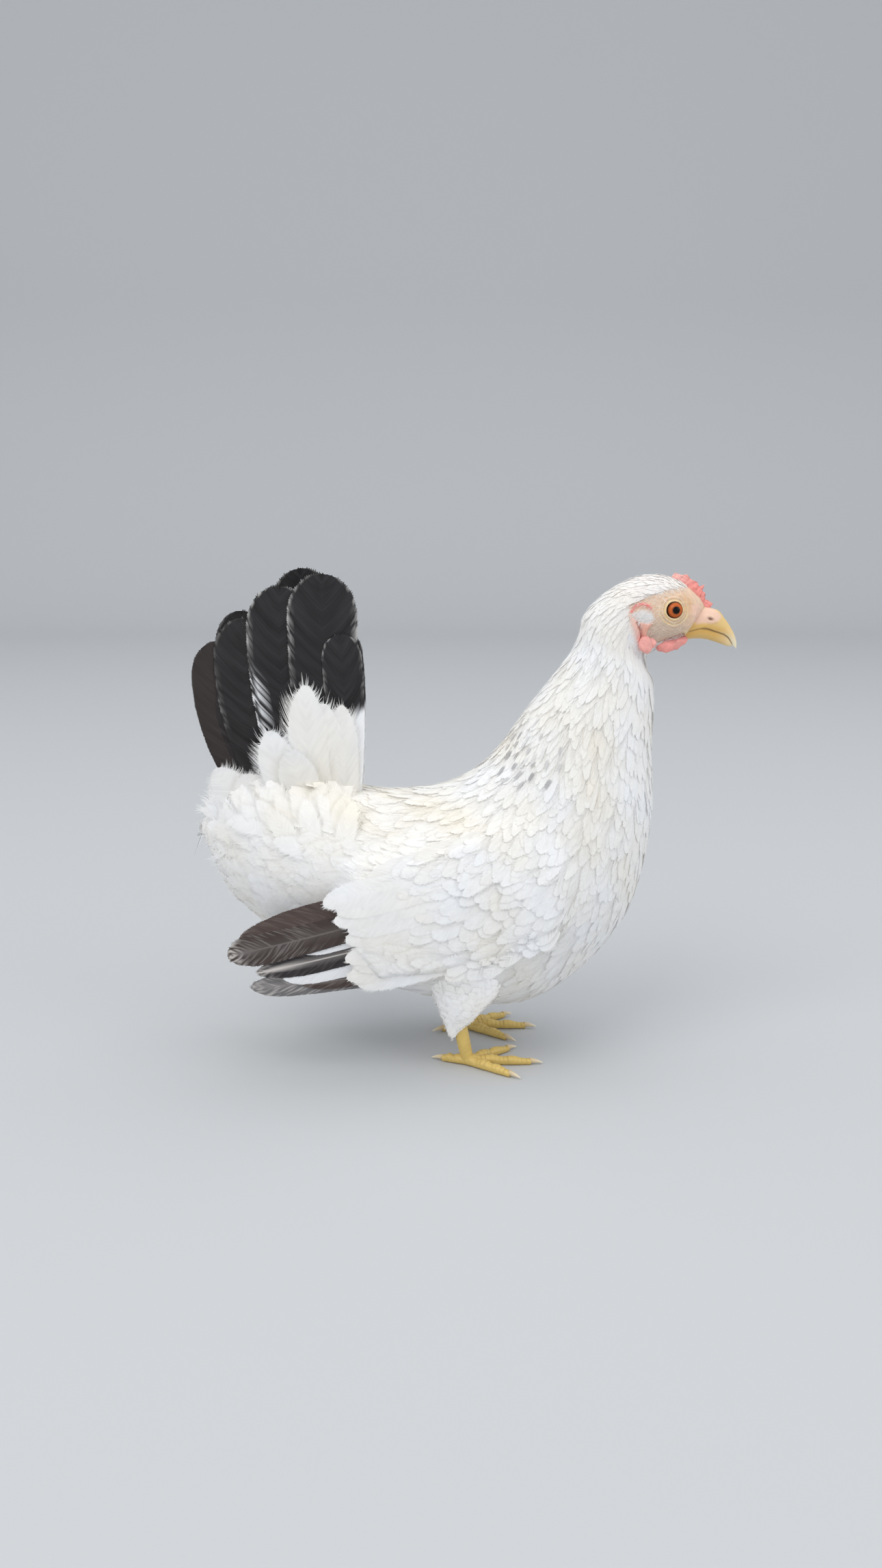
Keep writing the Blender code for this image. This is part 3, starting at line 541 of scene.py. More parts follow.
def wisp_shape():
    """A single thin strand that tapers to its tip."""
    along = np.array((0.0, 0.0, 0.35, 0.35, 0.7, 0.7, 1.0))
    across = np.array((-0.6, 0.6, -1.0, 1.0, -0.7, 0.7, 0.0))
    faces = np.array(((0, 1, 3), (0, 3, 2), (2, 3, 5), (2, 5, 4), (4, 5, 6)))
    flat = np.zeros(len(along))
    return VaneShape(along, across, flat + 0.5, along, flat, faces)


def scatter(surface, u_range, v_range, spacing, seed, grid=(160, 160), tries=9.0):
    """Roots spread over a surface, each at least its place's spacing away from the others.

    A place where the spacing is zero has none."""
    draw = np.random.default_rng(seed)
    u_edges = np.linspace(*u_range, grid[0] + 1)
    v_edges = np.linspace(*v_range, grid[1] + 1)
    u, v = grid_of((u_edges[1:] + u_edges[:-1]) / 2, (v_edges[1:] + v_edges[:-1]) / 2)
    u, v = u.ravel(), v.ravel()
    _, along_u, along_v, _ = frame_on(surface, 1, u, v)
    u_step, v_step = u_edges[1] - u_edges[0], v_edges[1] - v_edges[0]
    area = np.linalg.norm(np.cross(along_u, along_v), axis=-1) * u_step * v_step
    gap = spacing(u, v, surface(u, v))
    weight = np.where(gap > 0, area / np.maximum(gap, 1e-6) ** 2, 0.0)
    number = int(tries * weight.sum())
    cells = np.sort(draw.choice(len(weight), number, p=weight / weight.sum()))
    draw.shuffle(cells)
    u = u[cells] + draw.uniform(-0.5, 0.5, number) * u_step
    v = v[cells] + draw.uniform(-0.5, 0.5, number) * v_step
    places = surface(u, v)
    gap = spacing(u, v, places)
    cell = float(gap.max())
    taken = {}
    kept = []
    keys = np.floor(places / cell).astype(int)
    for index in range(number):
        if gap[index] <= 0:
            continue
        i, j, k = keys[index]
        x, y, z = places[index]
        limit = gap[index] ** 2
        around = ((i + a, j + b, k + c) for a in (0, -1, 1) for b in (0, -1, 1) for c in (0, -1, 1))
        near = (place for key in around for place in taken.get(key, ()))
        if all((px - x) ** 2 + (py - y) ** 2 + (pz - z) ** 2 >= limit for px, py, pz in near):
            taken.setdefault((i, j, k), []).append((x, y, z))
            kept.append(index)
    kept = np.array(kept, int)
    return u[kept], v[kept]


# How a group of feathers lies: all but the two functions are one number for each feather.
# Sink is how deep a root lies under the surface, lift how high its tip stands over it, and
# follow how closely the feather keeps to the surface rather than running straight on.
Lie = namedtuple("Lie", "length half_width sink lift camber tilt twist follow bend flow tint")
# Half the side of the patch of the unwrapped skin on which one feather lies.
PATCH_HALF = 0.0015
# The section at which the unwrapped skin of the body ends.
PATCH_LAST = 16.4
# Where the plumage is creamier: how much, the middle's x, half length, the middle's z, half height.
CREAMY_PLACES = (
    (0.55, -0.030, 0.045, 0.126, 0.012),
    (0.55, -0.075, 0.028, 0.140, 0.014),
    (0.35, 0.040, 0.030, 0.150, 0.022),
)


def lay_feathers(heap, surface, out, u, v, lie, shapes, patch_at, seed, steps=4):
    """Lays one feather at each root and adds it to the heap."""
    draw = np.random.default_rng(seed)
    pick = draw.integers(0, len(shapes), len(u))
    paths_u, paths_v, wide_u, wide_v = [], [], [], []
    at_u, at_v = u.copy(), v.copy()
    root = None
    for step in range(steps + 1):
        points, du, dv, normal = frame_on(surface, out, at_u, at_v)
        along = lie.flow(points, du)
        along = unit(along - normal * dot(along, normal))
        turn = (lie.twist + lie.bend * (step / steps))[:, None]
        along = along * np.cos(turn) + np.cross(normal, along) * np.sin(turn)
        across = np.cross(normal, along)
        if root is None:
            root = (points, along, across, normal)
        uu, uv, vv = dot(du, du)[:, 0], dot(du, dv)[:, 0], dot(dv, dv)[:, 0]
        area = np.maximum(uu * vv - uv * uv, 1e-14)

        def speeds(vectors):
            p, q = dot(du, vectors)[:, 0], dot(dv, vectors)[:, 0]
            return (vv * p - uv * q) / area, (uu * q - uv * p) / area

        paths_u.append(at_u)
        paths_v.append(at_v)
        across_u, across_v = speeds(across)
        wide_u.append(across_u)
        wide_v.append(across_v)
        ahead_u, ahead_v = speeds(along)
        at_u = at_u + ahead_u * lie.length / steps
        at_v = at_v + ahead_v * lie.length / steps
    paths_u, paths_v = np.array(paths_u).T, np.array(paths_v).T
    wide_u, wide_v = np.array(wide_u).T, np.array(wide_v).T
    for kind, shape in enumerate(shapes):
        chosen = np.nonzero(pick == kind)[0]
        if not len(chosen):
            continue
        place = np.clip(shape.along, 0, 1.08) * steps
        index = np.minimum(place.astype(int), steps - 1)
        part = (place - index)[None, :]

        def along_path(values):
            rows = values[chosen]
            return rows[:, index] * (1 - part) + rows[:, index + 1] * part

        width = lie.half_width[chosen][:, None] * shape.across[None, :]
        on_u = along_path(paths_u) + along_path(wide_u) * width
        on_v = along_path(paths_v) + along_path(wide_v) * width
        near, _, _, normal = frame_on(surface, out, on_u, on_v)
        a, b = shape.along[None, :], shape.across[None, :]
        half = lie.half_width[chosen][:, None]
        sink, lift = lie.sink[chosen][:, None], lie.lift[chosen][:, None]
        height = -sink + (sink + lift) * np.maximum(a, 0.0) ** 0.8
        height = height + lie.camber[chosen][:, None] * half * (1 - b * b)
        height = height + lie.tilt[chosen][:, None] * half * b + shape.rise[None, :] * half
        points = near + normal * height[..., None]
        length = lie.length[chosen][:, None, None]
        start, ahead, aside, over = (rows[chosen][:, None] for rows in root)
        free = start + ahead * length * a[..., None] + aside * width[..., None] + over * height[..., None]
        follow = lie.follow[chosen][:, None, None]
        points = points * follow + free * (1 - follow)
        chance = draw.random(len(chosen))[:, None]
        a, b, barb, outward, chance = np.broadcast_arrays(a, b, shape.barb, shape.out, chance)
        tints = lie.tint(points, a, b, chance)
        vanes = np.stack([barb, outward, chance], -1)
        patch = patch_at(u[chosen], v[chosen])[:, None, :] + PATCH_HALF * np.stack([b, 2 * a - 1], -1)
        faces = shape.faces[None] + (np.arange(len(chosen)) * len(shape.along))[:, None, None]
        heap.add(points, faces, tints, vanes, patch, normal)


def body_patch(s, turn):
    """A root's place on the unwrapped skin."""
    along = np.clip(s, 0, PATCH_LAST) / PATCH_LAST
    return np.stack([0.02 + 0.66 * along, 0.02 + 0.96 * (turn / (2 * math.pi) % 1.0)], -1)


def side_patch(side, row, low, high):
    """A function for a root's place on the unwrapped skin of a wing, tail or thigh."""
    corner = (0.70 if side < 0 else 0.85, row)

    def patch(u, v):
        across = (u - low[0]) / (high[0] - low[0])
        up = (v - low[1]) / (high[1] - low[1])
        return np.stack([corner[0] + 0.13 * np.clip(across, 0, 1), corner[1] + 0.22 * np.clip(up, 0, 1)], -1)

    return patch


def plumage_tint(points, along, across, chance):
    """Cream, dark, warm and random masks that plumage and skin share."""
    x, z = points[..., 0], points[..., 2]
    cloud = ripple(points.reshape(-1, 3), 0.030, 11).reshape(x.shape)
    cream = 0.28 + 0.22 * cloud + 0.25 * (chance - 0.5)
    for share, *place in CREAMY_PLACES:
        cream = cream + share * blob(x, z, *place)
    warm = smooth(0.185, 0.235, z) * smooth(0.055, 0.080, x)
    return np.stack([np.clip(cream, 0, 1), np.zeros_like(x), np.clip(warm, 0, 1), chance], -1)


def tick_tint(points, along, across, chance):
    """The plumage's masks darkened for a grey-black mark, softest at its ends."""
    tint = plumage_tint(points, along, across, chance)
    ends = smooth(0.0, 0.25, along) * (1 - smooth(0.75, 1.0, along))
    tint[..., 1] = ends * (0.15 + 0.5 * chance)
    return tint


def make_lie(number, flow, tint=plumage_tint, **sizes):
    """How this many feathers lie. A size that is one number holds for all of them."""
    usual = {"camber": 0.0, "tilt": 0.0, "twist": 0.0, "follow": 1.0, "bend": 0.0}
    spread = {label: np.broadcast_to(value, number) for label, value in {**usual, **sizes}.items()}
    return Lie(flow=flow, tint=tint, **spread)


class Tree:
    """One tree of shader nodes, with short calls for the kinds that are used here."""

    def __init__(self, tree):
        self.nodes, self.links = tree.nodes, tree.links

    def feed(self, socket, value):
        """Sets a number or a colour on a socket, or links another node's output to it."""
        if isinstance(value, (int, float)):
            socket.default_value = value
        elif isinstance(value, tuple):
            socket.default_value = (*value, 1.0)
        else:
            self.links.new(value, socket)

    def math(self, operation, *values, clamp=False):
        node = self.nodes.new("ShaderNodeMath")
        node.operation = operation
        node.use_clamp = clamp
        for socket, value in zip(node.inputs, values):
            self.feed(socket, value)
        return node.outputs[0]

    def times(self, first, second):
        return self.math("MULTIPLY", first, second)

    def mix(self, factor, first, second, blend="MIX"):
        node = self.nodes.new("ShaderNodeMix")
        node.data_type = "RGBA"
        node.blend_type = blend
        for place, value in ((0, factor), (6, first), (7, second)):
            self.feed(node.inputs[place], value)
        return node.outputs[2]

    def noise(self, scale, detail, vector=None):
        node = self.nodes.new("ShaderNodeTexNoise")
        self.feed(node.inputs["Scale"], scale)
        node.inputs["Detail"].default_value = detail
        if vector is not None:
            self.links.new(vector, node.inputs["Vector"])
        return node.outputs["Fac"]

    def axes(self, label):
        """The three numbers of a vector attribute."""
        attribute = self.nodes.new("ShaderNodeAttribute")
        attribute.attribute_name = label
        parts = self.nodes.new("ShaderNodeSeparateXYZ")
        self.links.new(attribute.outputs["Vector"], parts.inputs[0])
        return parts.outputs[0], parts.outputs[1], parts.outputs[2]

    def masks(self, label):
        """The four masks of a colour attribute."""
        attribute = self.nodes.new("ShaderNodeAttribute")
        attribute.attribute_name = label
        parts = self.nodes.new("ShaderNodeSeparateColor")
        self.links.new(attribute.outputs["Color"], parts.inputs[0])
        return parts.outputs[0], parts.outputs[1], parts.outputs[2], attribute.outputs["Alpha"]

    def effect(self, group, **values):
        """A shared effect's outputs, with its inputs at these values."""
        node = self.nodes.new("ShaderNodeGroup")
        node.node_tree = group
        for label, value in values.items():
            node.inputs[label].default_value = value
        return node.outputs


class Effect(Tree):
    """A new node group with these inputs and outputs."""

    def __init__(self, name, inputs, outputs):
        self.group = bpy.data.node_groups.new(name, "ShaderNodeTree")
        for label, value in inputs.items():
            socket = self.group.interface.new_socket(label, in_out="INPUT", socket_type="NodeSocketFloat")
            socket.default_value = value
        for label in outputs:
            self.group.interface.new_socket(label, in_out="OUTPUT", socket_type="NodeSocketFloat")
        super().__init__(self.group)
        self.given = self.nodes.new("NodeGroupInput").outputs
        self.result = self.nodes.new("NodeGroupOutput").inputs


class Paint(Tree):
    """A new material whose Principled shader has these values on its sockets."""

    def __init__(self, name, values):
        self.material = bpy.data.materials.new(name)
        self.material.use_nodes = True
        super().__init__(self.material.node_tree)
        self.sockets = self.nodes["Principled BSDF"].inputs
        for label, value in values.items():
            self.sockets[label].default_value = value

    def finish(self, colour, height=None, distance=0.0, strength=1.0):
        """Gives the shader its colour and its bump, and the material back."""
        self.links.new(colour, self.sockets["Base Color"])
        if height is not None:
            bump = self.nodes.new("ShaderNodeBump")
            bump.inputs["Strength"].default_value = strength
            bump.inputs["Distance"].default_value = distance
            self.links.new(height, bump.inputs["Height"])
            self.links.new(bump.outputs["Normal"], self.sockets["Normal"])
        return self.material


def barb_group():
    """Streaks that run along a vane's barbs, from its own barb and outward coordinates."""
    existing = bpy.data.node_groups.get("Barb streaks")
    if existing:
        return existing
    tree = Effect("Barb streaks", {"Lines": 60.0, "Run": 1.2}, ("Fine", "Broad"))
    barb, outward, chance = tree.axes("vane")
    for label, share in (("Fine", 1.0), ("Broad", 0.14)):
        place = tree.nodes.new("ShaderNodeCombineXYZ")
        lines = tree.times(tree.given["Lines"], share)
        tree.links.new(tree.times(barb, lines), place.inputs[0])
        tree.links.new(tree.times(outward, tree.given["Run"]), place.inputs[1])
        tree.links.new(tree.times(chance, 97.0), place.inputs[2])
        tree.links.new(tree.noise(1.0, 2.0, place.outputs[0]), tree.result[label])
    return tree.group


def grain_group():
    """Pebbly bare skin: a cell pattern for its bumps and a soft one for its tone."""
    existing = bpy.data.node_groups.get("Skin grain")
    if existing:
        return existing
    tree = Effect("Skin grain", {"Pebbles": 2200.0, "Cloud": 160.0}, ("Height", "Tone"))
    place = tree.nodes.new("ShaderNodeTexCoord").outputs["Object"]
    cells = tree.nodes.new("ShaderNodeTexVoronoi")
    tree.links.new(place, cells.inputs["Vector"])
    tree.links.new(tree.given["Pebbles"], cells.inputs["Scale"])
    height = tree.math("MULTIPLY_ADD", cells.outputs["Distance"], -0.8, tree.noise(1800.0, 3.0, place))
    tree.links.new(height, tree.result["Height"])
    tree.links.new(tree.noise(tree.given["Cloud"], 2.0, place), tree.result["Tone"])
    return tree.group


def shade_of(colour, share, more=0.0):
    """A lighter or darker shade of a colour."""
    return tuple(min(1.0, value * share + more) for value in colour)


# How strongly a feather seen from its underside glows: painted light that stands in for light coming through
# it and lightens the shade between feathers.
UNDERSIDE_GLOW = 0.16


def whites():
    """The material of the white plumage, made once."""
    existing = bpy.data.materials.get("white_plumage")
    if existing:
        return existing
    look = bpy.context.scene.hen_plumage
    paint = Paint("white_plumage", {"Roughness": 0.75, "Sheen Weight": 0.2, "Sheen Roughness": 0.5,
                                    "Specular IOR Level": 0.2, "Emission Strength": 1.0})
    creamy, ticks, warm, _ = paint.masks("tint")
    barbs = paint.effect(barb_group(), Lines=26.0)
    colour = paint.mix(creamy, tuple(look.white), tuple(look.cream))
    colour = paint.mix(paint.times(warm, 0.35), colour, (0.86, 0.76, 0.68))
    fine = paint.math("MULTIPLY_ADD", barbs["Fine"], 0.16, 0.88)
    broad = paint.math("MULTIPLY_ADD", barbs["Broad"], 0.14, 0.93)
    shade = paint.math("MULTIPLY", fine, broad, clamp=True)
    grey = paint.nodes.new("ShaderNodeCombineColor")
    for socket in grey.inputs[:3]:
        paint.links.new(shade, socket)
    colour = paint.mix(1.0, colour, grey.outputs[0], "MULTIPLY")
    colour = paint.mix(ticks, colour, tuple(look.tick))
    # Painted glow: the feathers' undersides give off light of the plumage's colour.
    back = paint.nodes.new("ShaderNodeNewGeometry").outputs["Backfacing"]
    glow = paint.mix(paint.times(back, UNDERSIDE_GLOW), (0.0, 0.0, 0.0), tuple(look.white))
    paint.links.new(glow, paint.sockets["Emission Color"])
    return paint.finish(colour, barbs["Fine"], 0.00012, 0.6)


COLOUR = {"size": 3, "subtype": "COLOR", "min": 0.0, "max": 1.0}


class HenPlumage(PropertyGroup):
    """Sizes and colours of the feathers."""

    length: FloatProperty(
        name="Feather length", description="Share of the small feathers' usual length",
        default=1.0, min=0.5, max=1.5, subtype="FACTOR")
    spacing: FloatProperty(
        name="Feather spacing", description="Share of the usual distance between feathers",
        default=1.0, min=0.7, max=3.0, subtype="FACTOR")
    white: FloatVectorProperty(
        name="White", description="Colour of the plumage",
        default=(0.88, 0.885, 0.90), **COLOUR)
    cream: FloatVectorProperty(
        name="Cream", description="Colour of the plumage's creamy parts",
        default=(0.87, 0.83, 0.74), **COLOUR)
    tick: FloatVectorProperty(
        name="Ticks", description="Colour of the hackle's dark ticks",
        default=(0.13, 0.13, 0.15), **COLOUR)
    black: FloatVectorProperty(
        name="Tail black", description="Colour of the tail feathers",
        default=(0.012, 0.011, 0.012), **COLOUR)
    brown: FloatVectorProperty(
        name="Wing brown", description="Colour of the dark flight feathers",
        default=(0.085, 0.060, 0.052), **COLOUR)


class HenSkin(PropertyGroup):
    """Colours of the bare skin, the bill, the eyes and the feet."""

    face: FloatVectorProperty(
        name="Face", description="Colour of the bare face",
        default=(0.72, 0.52, 0.37), **COLOUR)
    lore: FloatVectorProperty(
        name="Lore", description="Colour of the skin in front of the eye",
        default=(0.76, 0.46, 0.24), **COLOUR)
    cheek: FloatVectorProperty(
        name="Cheek", description="Colour of the cheek's mottle",
        default=(0.50, 0.40, 0.31), **COLOUR)
    cere: FloatVectorProperty(
        name="Cere", description="Colour of the soft skin at the nostrils",
        default=(0.82, 0.55, 0.45), **COLOUR)
    lid: FloatVectorProperty(
        name="Lids", description="Colour of the rings round the eye",
        default=(0.84, 0.66, 0.36), **COLOUR)
    comb: FloatVectorProperty(
        name="Comb", description="Colour of the comb, wattles and lobes",
        default=(0.76, 0.20, 0.17), **COLOUR)
    bill: FloatVectorProperty(
        name="Bill", description="Colour of the bill's horn",
        default=(0.80, 0.55, 0.21), **COLOUR)
    iris: FloatVectorProperty(
        name="Iris", description="Colour of the eye's iris",
        default=(0.45, 0.10, 0.02), **COLOUR)
    leg: FloatVectorProperty(
        name="Legs", description="Colour of the scaled legs",
        default=(0.76, 0.54, 0.16), **COLOUR)


class HenStage(PropertyGroup):
    """The floor, the lights and the camera."""

    floor: FloatVectorProperty(
        name="Floor", description="Colour of the floor and the backdrop",
        default=(0.52, 0.53, 0.54), **COLOUR)
    lens: FloatProperty(
        name="Lens", description="Focal length of the camera", default=30.29, min=10.0, max=200.0,
        unit="CAMERA")
    tip: FloatProperty(
        name="Camera tip", description="How far the camera looks down", default=math.radians(11.9),
        subtype="ANGLE", unit="ROTATION")


# The sheet of floor and backdrop: its half width, near and far end, bend and height.
SWEEP_HALF, SWEEP_NEAR, SWEEP_FAR, SWEEP_BEND, SWEEP_TOP = 4.0, -3.0, 2.2, 0.8, 4.0
SWEEP_STEPS = 24
# The soft lights: place, aim, size, power and colour.
LIGHTS = {
    "key_light": ((-0.9, -1.3, 1.9), (0.0, 0.0, 0.12), 1.4, 18.0, (1.0, 0.985, 0.96)),
    "top_light": ((0.2, 0.3, 2.2), (0.0, 0.0, 0.1), 1.8, 11.0, (0.97, 0.985, 1.0)),
    "side_light": ((1.6, -0.9, 0.9), (0.05, 0.0, 0.12), 1.2, 5.0, (1.0, 0.99, 0.97)),
}
CAMERA_PLACE = (-0.0124, -0.62724, 0.26776)


class HEN_OT_stage(Operator):
    """Builds the floor, the backdrop, the lights and the camera"""

    bl_idname = "hen.stage"
    bl_label = "Stage"

    def execute(self, context):
        look = context.scene.hen_stage
        scene = context.scene
        paint = Paint("stage_paint", {"Roughness": 0.85})
        colour = paint.mix(paint.noise(3.0, 2.0), tuple(look.floor), shade_of(look.floor, 1.05))
        profile = [(SWEEP_NEAR, 0.0)]
        for step in range(SWEEP_STEPS + 1):
            angle = 0.5 * math.pi * step / SWEEP_STEPS
            profile.append((SWEEP_FAR + SWEEP_BEND * math.sin(angle), SWEEP_BEND * (1 - math.cos(angle))))
        profile.append((SWEEP_FAR + SWEEP_BEND, SWEEP_TOP))
        points = np.array([(x, y, z) for y, z in profile for x in (-SWEEP_HALF, SWEEP_HALF)])
        faces = grid_faces(len(profile), 2, closed=False)
        add_mesh("sweep", points - SHIFT, faces, paint.finish(colour))
        for name, (place, aim, size, power, colour) in LIGHTS.items():
            data = bpy.data.lights.new(name, "AREA")
            data.size = size
            data.energy = power
            data.color = colour
            lamp = bpy.data.objects.new(name, data)
            scene.collection.objects.link(lamp)
            lamp.location = place
            lamp.rotation_euler = (Vector(aim) - Vector(place)).to_track_quat("-Z", "Y").to_euler()
        scene.world = bpy.data.worlds.new("soft_sky")
        scene.world.use_nodes = True
        background = scene.world.node_tree.nodes["Background"]
        background.inputs["Color"].default_value = (0.93, 0.96, 1.0, 1.0)
        background.inputs["Strength"].default_value = 0.85
        data = bpy.data.cameras.new("camera")
        data.sensor_width = 36.0
        data.lens = look.lens
        scene.camera = bpy.data.objects.new("camera", data)
        scene.camera.location = CAMERA_PLACE
        scene.camera.rotation_euler = (0.5 * math.pi - look.tip, 0.0, 0.0)
        scene.collection.objects.link(scene.camera)
        scene.view_settings.view_transform = "Standard"
        return {"FINISHED"}


# How deep the skin lies under the outline of the plumage, by section of the body.
SKIN_DEPTHS = ((0.0, 0.0020), (0.9, 0.0003), (4.0, 0.0008), (4.9, 0.0010), (6.0, 0.0014), (8.5, 0.0019),
               (12.0, 0.0022), (13.5, 0.0024), (16.0, 0.0030))
# The rings of skin round the eye: distance from its middle, width, height, and more height below.
EYE_RINGS = (
    (0.0042, 0.0005, 0.0007, 0.0),
    (0.0051, 0.0003, -0.0003, 0.0),
    (0.0057, 0.0004, 0.0004, 0.0),
    (0.0065, 0.0003, -0.0002, -0.0002),
    (0.0071, 0.0005, 0.0, 0.0003),
)
# The face's swellings and hollows: height, the middle's x, half length, the middle's z, half height.
FACE_SWELLS = (
    (0.0004, 0.0945, 0.0060, 0.2270, 0.0016),
    (-0.0006, 0.1012, 0.0026, 0.2212, 0.0034),
    (0.0007, 0.0905, 0.0070, 0.2105, 0.0036),
)
# The coloured places of the face, each as the swellings' place: before the eye, over it, the cheek.
LORE = (0.1008, 0.0036, 0.2220, 0.0042)
BROW = (0.0985, 0.0030, 0.2265, 0.0022)
CHEEK = (0.0900, 0.0085, 0.2115, 0.0055)
SKIN_COLUMNS = 340
HEAD_ROWS = 190
BODY_ROWS = 38
# How high the wrinkles of the wattles and ear lobes stand.
WRINKLE = 0.00022
# How many points lie across the flat of the bill's mouth.
MOUTH_COLUMNS = 9


def face_relief(x, z, side_share):
    """Height of the face's folds over the head's outline, and its masks, by place on its side."""
    around = np.arctan2(z - EYE[2], x - EYE[0])
    from_eye = np.hypot(x - EYE[0], z - EYE[2])
    wavy = from_eye * (1 + 0.035 * np.sin(2 * around + 1.0) + 0.02 * np.sin(5 * around))
    below_eye = smooth(-0.0040, 0.0030, EYE[2] - z)

    creases = np.sin(wavy / 0.0011 * 2 * math.pi + 6 * (x - EYE[0]) / 0.010)
    height = 0.00007 * creases * smooth(0.0070, 0.0080, from_eye) * (1 - smooth(0.011, 0.014, from_eye))
    for at, wide, high, lower in EYE_RINGS:
        height += (high + lower * below_eye) * band(wavy - at, wide)
    for high, *place in FACE_SWELLS:
        height += high * blob(x, z, *place)
    arc_gap, arc_place = distance_to(x, z, EAR_ARC)
    arc = band(arc_gap, 0.0009) * smooth(-0.05, 0.10, arc_place) * (1 - smooth(0.90, 1.05, arc_place))
    patch = smooth(-0.0010, 0.0012, depth_inside(x, z, EAR_PATCH))
    lobe = smooth(-0.0007, 0.0014, depth_inside(x, z, EAR_LOBE))
    fold = band(distance_to(x, z, LOBE_FOLD)[0], 0.0007)
    pleats = np.sin((x - 0.25 * z) / 0.0013 * 2 * math.pi)
    under_edge = band(distance_to(x, z, CHEEK_EDGE)[0], 0.0009)
    height += 0.0007 * arc + (0.0014 - 0.0011 * fold + 0.00018 * pleats) * lobe - 0.0008 * under_edge
    socket = 1 - smooth(EYE_OPENING - 0.0003, EYE_OPENING + 0.0002, from_eye)
    height = (height - 0.0030 * socket) * side_share
    red = np.clip(arc + lobe * (0.45 + 0.55 * smooth(0.2115, 0.2045, z)), 0, 1)
    rims = band(from_eye - 0.0045, 0.0008) + band(from_eye - 0.0068, 0.0006) * (0.2 + 0.6 * below_eye)
    rims = np.clip(rims + band(np.hypot(x - GAPE[0], z - GAPE[1]), 0.0014), 0, 1)
    # Painted shade: darker in the ear lobe's fold, in the eye's socket round the eyeball and in the crease
    # under the cheek's edge.
    dark = np.clip(0.55 * fold * lobe + 0.8 * socket + 0.6 * under_edge, 0, 1)
    lore = blob(x, z, *LORE) + 0.6 * blob(x, z, *BROW)
    cheek = np.clip(1.2 * blob(x, z, *CHEEK) * (1 - rims), 0, 1)
    cere = smooth(-0.0010, 0.0012, depth_inside(x, z, CERE))
    masks = np.stack([red, rims, dark, np.clip(lore, 0, 1)], -1) * side_share[:, None]
    return height, masks, np.stack([patch, cheek, cere], -1) * side_share[:, None]


def skin_grid():
    """The whole skin of head, neck and body as one sheet, finest on the face."""
    columns = SKIN_COLUMNS
    head = np.linspace(0.0, HEAD_END, HEAD_ROWS, endpoint=False)
    rest = np.linspace(HEAD_END, LAST_SECTION, BODY_ROWS)
    s, turn = grid_of(np.concatenate([head, rest]), np.arange(columns) * 2 * math.pi / columns)
    rows = s.shape[0]
    s, turn = s.ravel(), turn.ravel()
    points, _, _, normal = frame_on(body_surface, 1, s, turn)
    side_share = smooth(0.55, 0.85, np.abs(np.sin(turn))) * (1 - smooth(5.0, 5.6, s))
    height, masks, tones = face_relief(points[:, 0], points[:, 2], side_share)
    fine = 0.00010 * ripple(points, 0.0022, 3) * (1 - smooth(4.6, 5.2, s))
    crown = on_line(points[:, 0], FEATHER_LIMIT) + 0.0006 * ripple(points, 0.003, 5)
    above = smooth(-0.0010, 0.0012, points[:, 2] - crown)
    white = np.maximum(smooth(4.2, 5.4, s), above) * (1 - masks[:, 0])
    tones = np.concatenate([tones, white[:, None]], axis=1)
    points = points + normal * (height + fine - on_line(s, SKIN_DEPTHS))[:, None]
    faces = grid_faces(rows, columns)
    patch = body_patch(s, turn)
    for row, ring in ((0, 0), (rows - 1, (rows - 1) * columns)):
        middle = points[ring:ring + columns].mean(axis=0)
        points = np.vstack([points, middle])
        patch = np.vstack([patch, patch[ring]])
        masks = np.vstack([masks, masks[ring]])
        tones = np.vstack([tones, tones[ring]])
        index = np.arange(columns)
        cap = np.stack([ring + index, ring + (index + 1) % columns, np.full(columns, len(points) - 1)], -1)
        faces = np.vstack([faces, cap if row else cap[:, ::-1]])
    return points, faces[:, ::-1], masks, tones, patch


def closed_loft(rings):
    """Points and triangles of a closed form through rings of as many points each."""
    rings = np.asarray(rings)
    rows, columns = rings.shape[:2]
    points = np.vstack([rings.reshape(-1, 3), rings[0].mean(axis=0), rings[-1].mean(axis=0)])
    index = np.arange(columns)
    ahead = (index + 1) % columns
    start = np.stack([ahead, index, np.full(columns, rows * columns)], -1)
    last = (rows - 1) * columns
    end = np.stack([last + index, last + ahead, np.full(columns, rows * columns + 1)], -1)
    return points, np.vstack([grid_faces(rows, columns), start, end])


def comb_form():
    """The low comb: a thin pebbly blade with blunt points."""
    places = np.linspace(0, len(COMB_SECTIONS) - 1, 90)
    rows = curve(COMB_SECTIONS, places)
    turns = circle(40)
    up = (1 - np.cos(turns)) / 2
    half = 0.0018 * (1 - 0.55 * up ** 1.5) * np.sin(turns)
    base, crest = rows[:, :2], rows[:, 2:4]
    base = base - 0.0012 * unit(crest - base)
    level = base[:, None, :] + (crest - base)[:, None, :] * up[None, :, None]
    ends = np.sin(math.pi * np.clip(places / (len(COMB_SECTIONS) - 1), 0.04, 0.96)) ** 0.25
    y = half[None, :] * ends[:, None]
    rings = np.stack([level[..., 0], y, level[..., 1]], -1)
    points, faces = closed_loft(rings)
    bumps = ripple(points, 0.0016, 21) + 0.6 * ripple(points, 0.0009, 22)
    points[:, 1] += np.sign(points[:, 1]) * 0.00026 * bumps
    pale = 0.25 * np.concatenate([np.tile(up, len(places)), [0, 0]])
    return points, faces, pale + 0.55 * smooth(0.1040, 0.0960, points[:, 0])


def joined(forms):
    """Several forms as one: their points, their triangles and what else each has for its points."""
    starts = np.cumsum([0] + [len(form[0]) for form in forms])
    faces = np.vstack([form[1] + start for form, start in zip(forms, starts)])
    points, _, *more = [np.concatenate(column) for column in zip(*forms)]
    return points, faces, *more


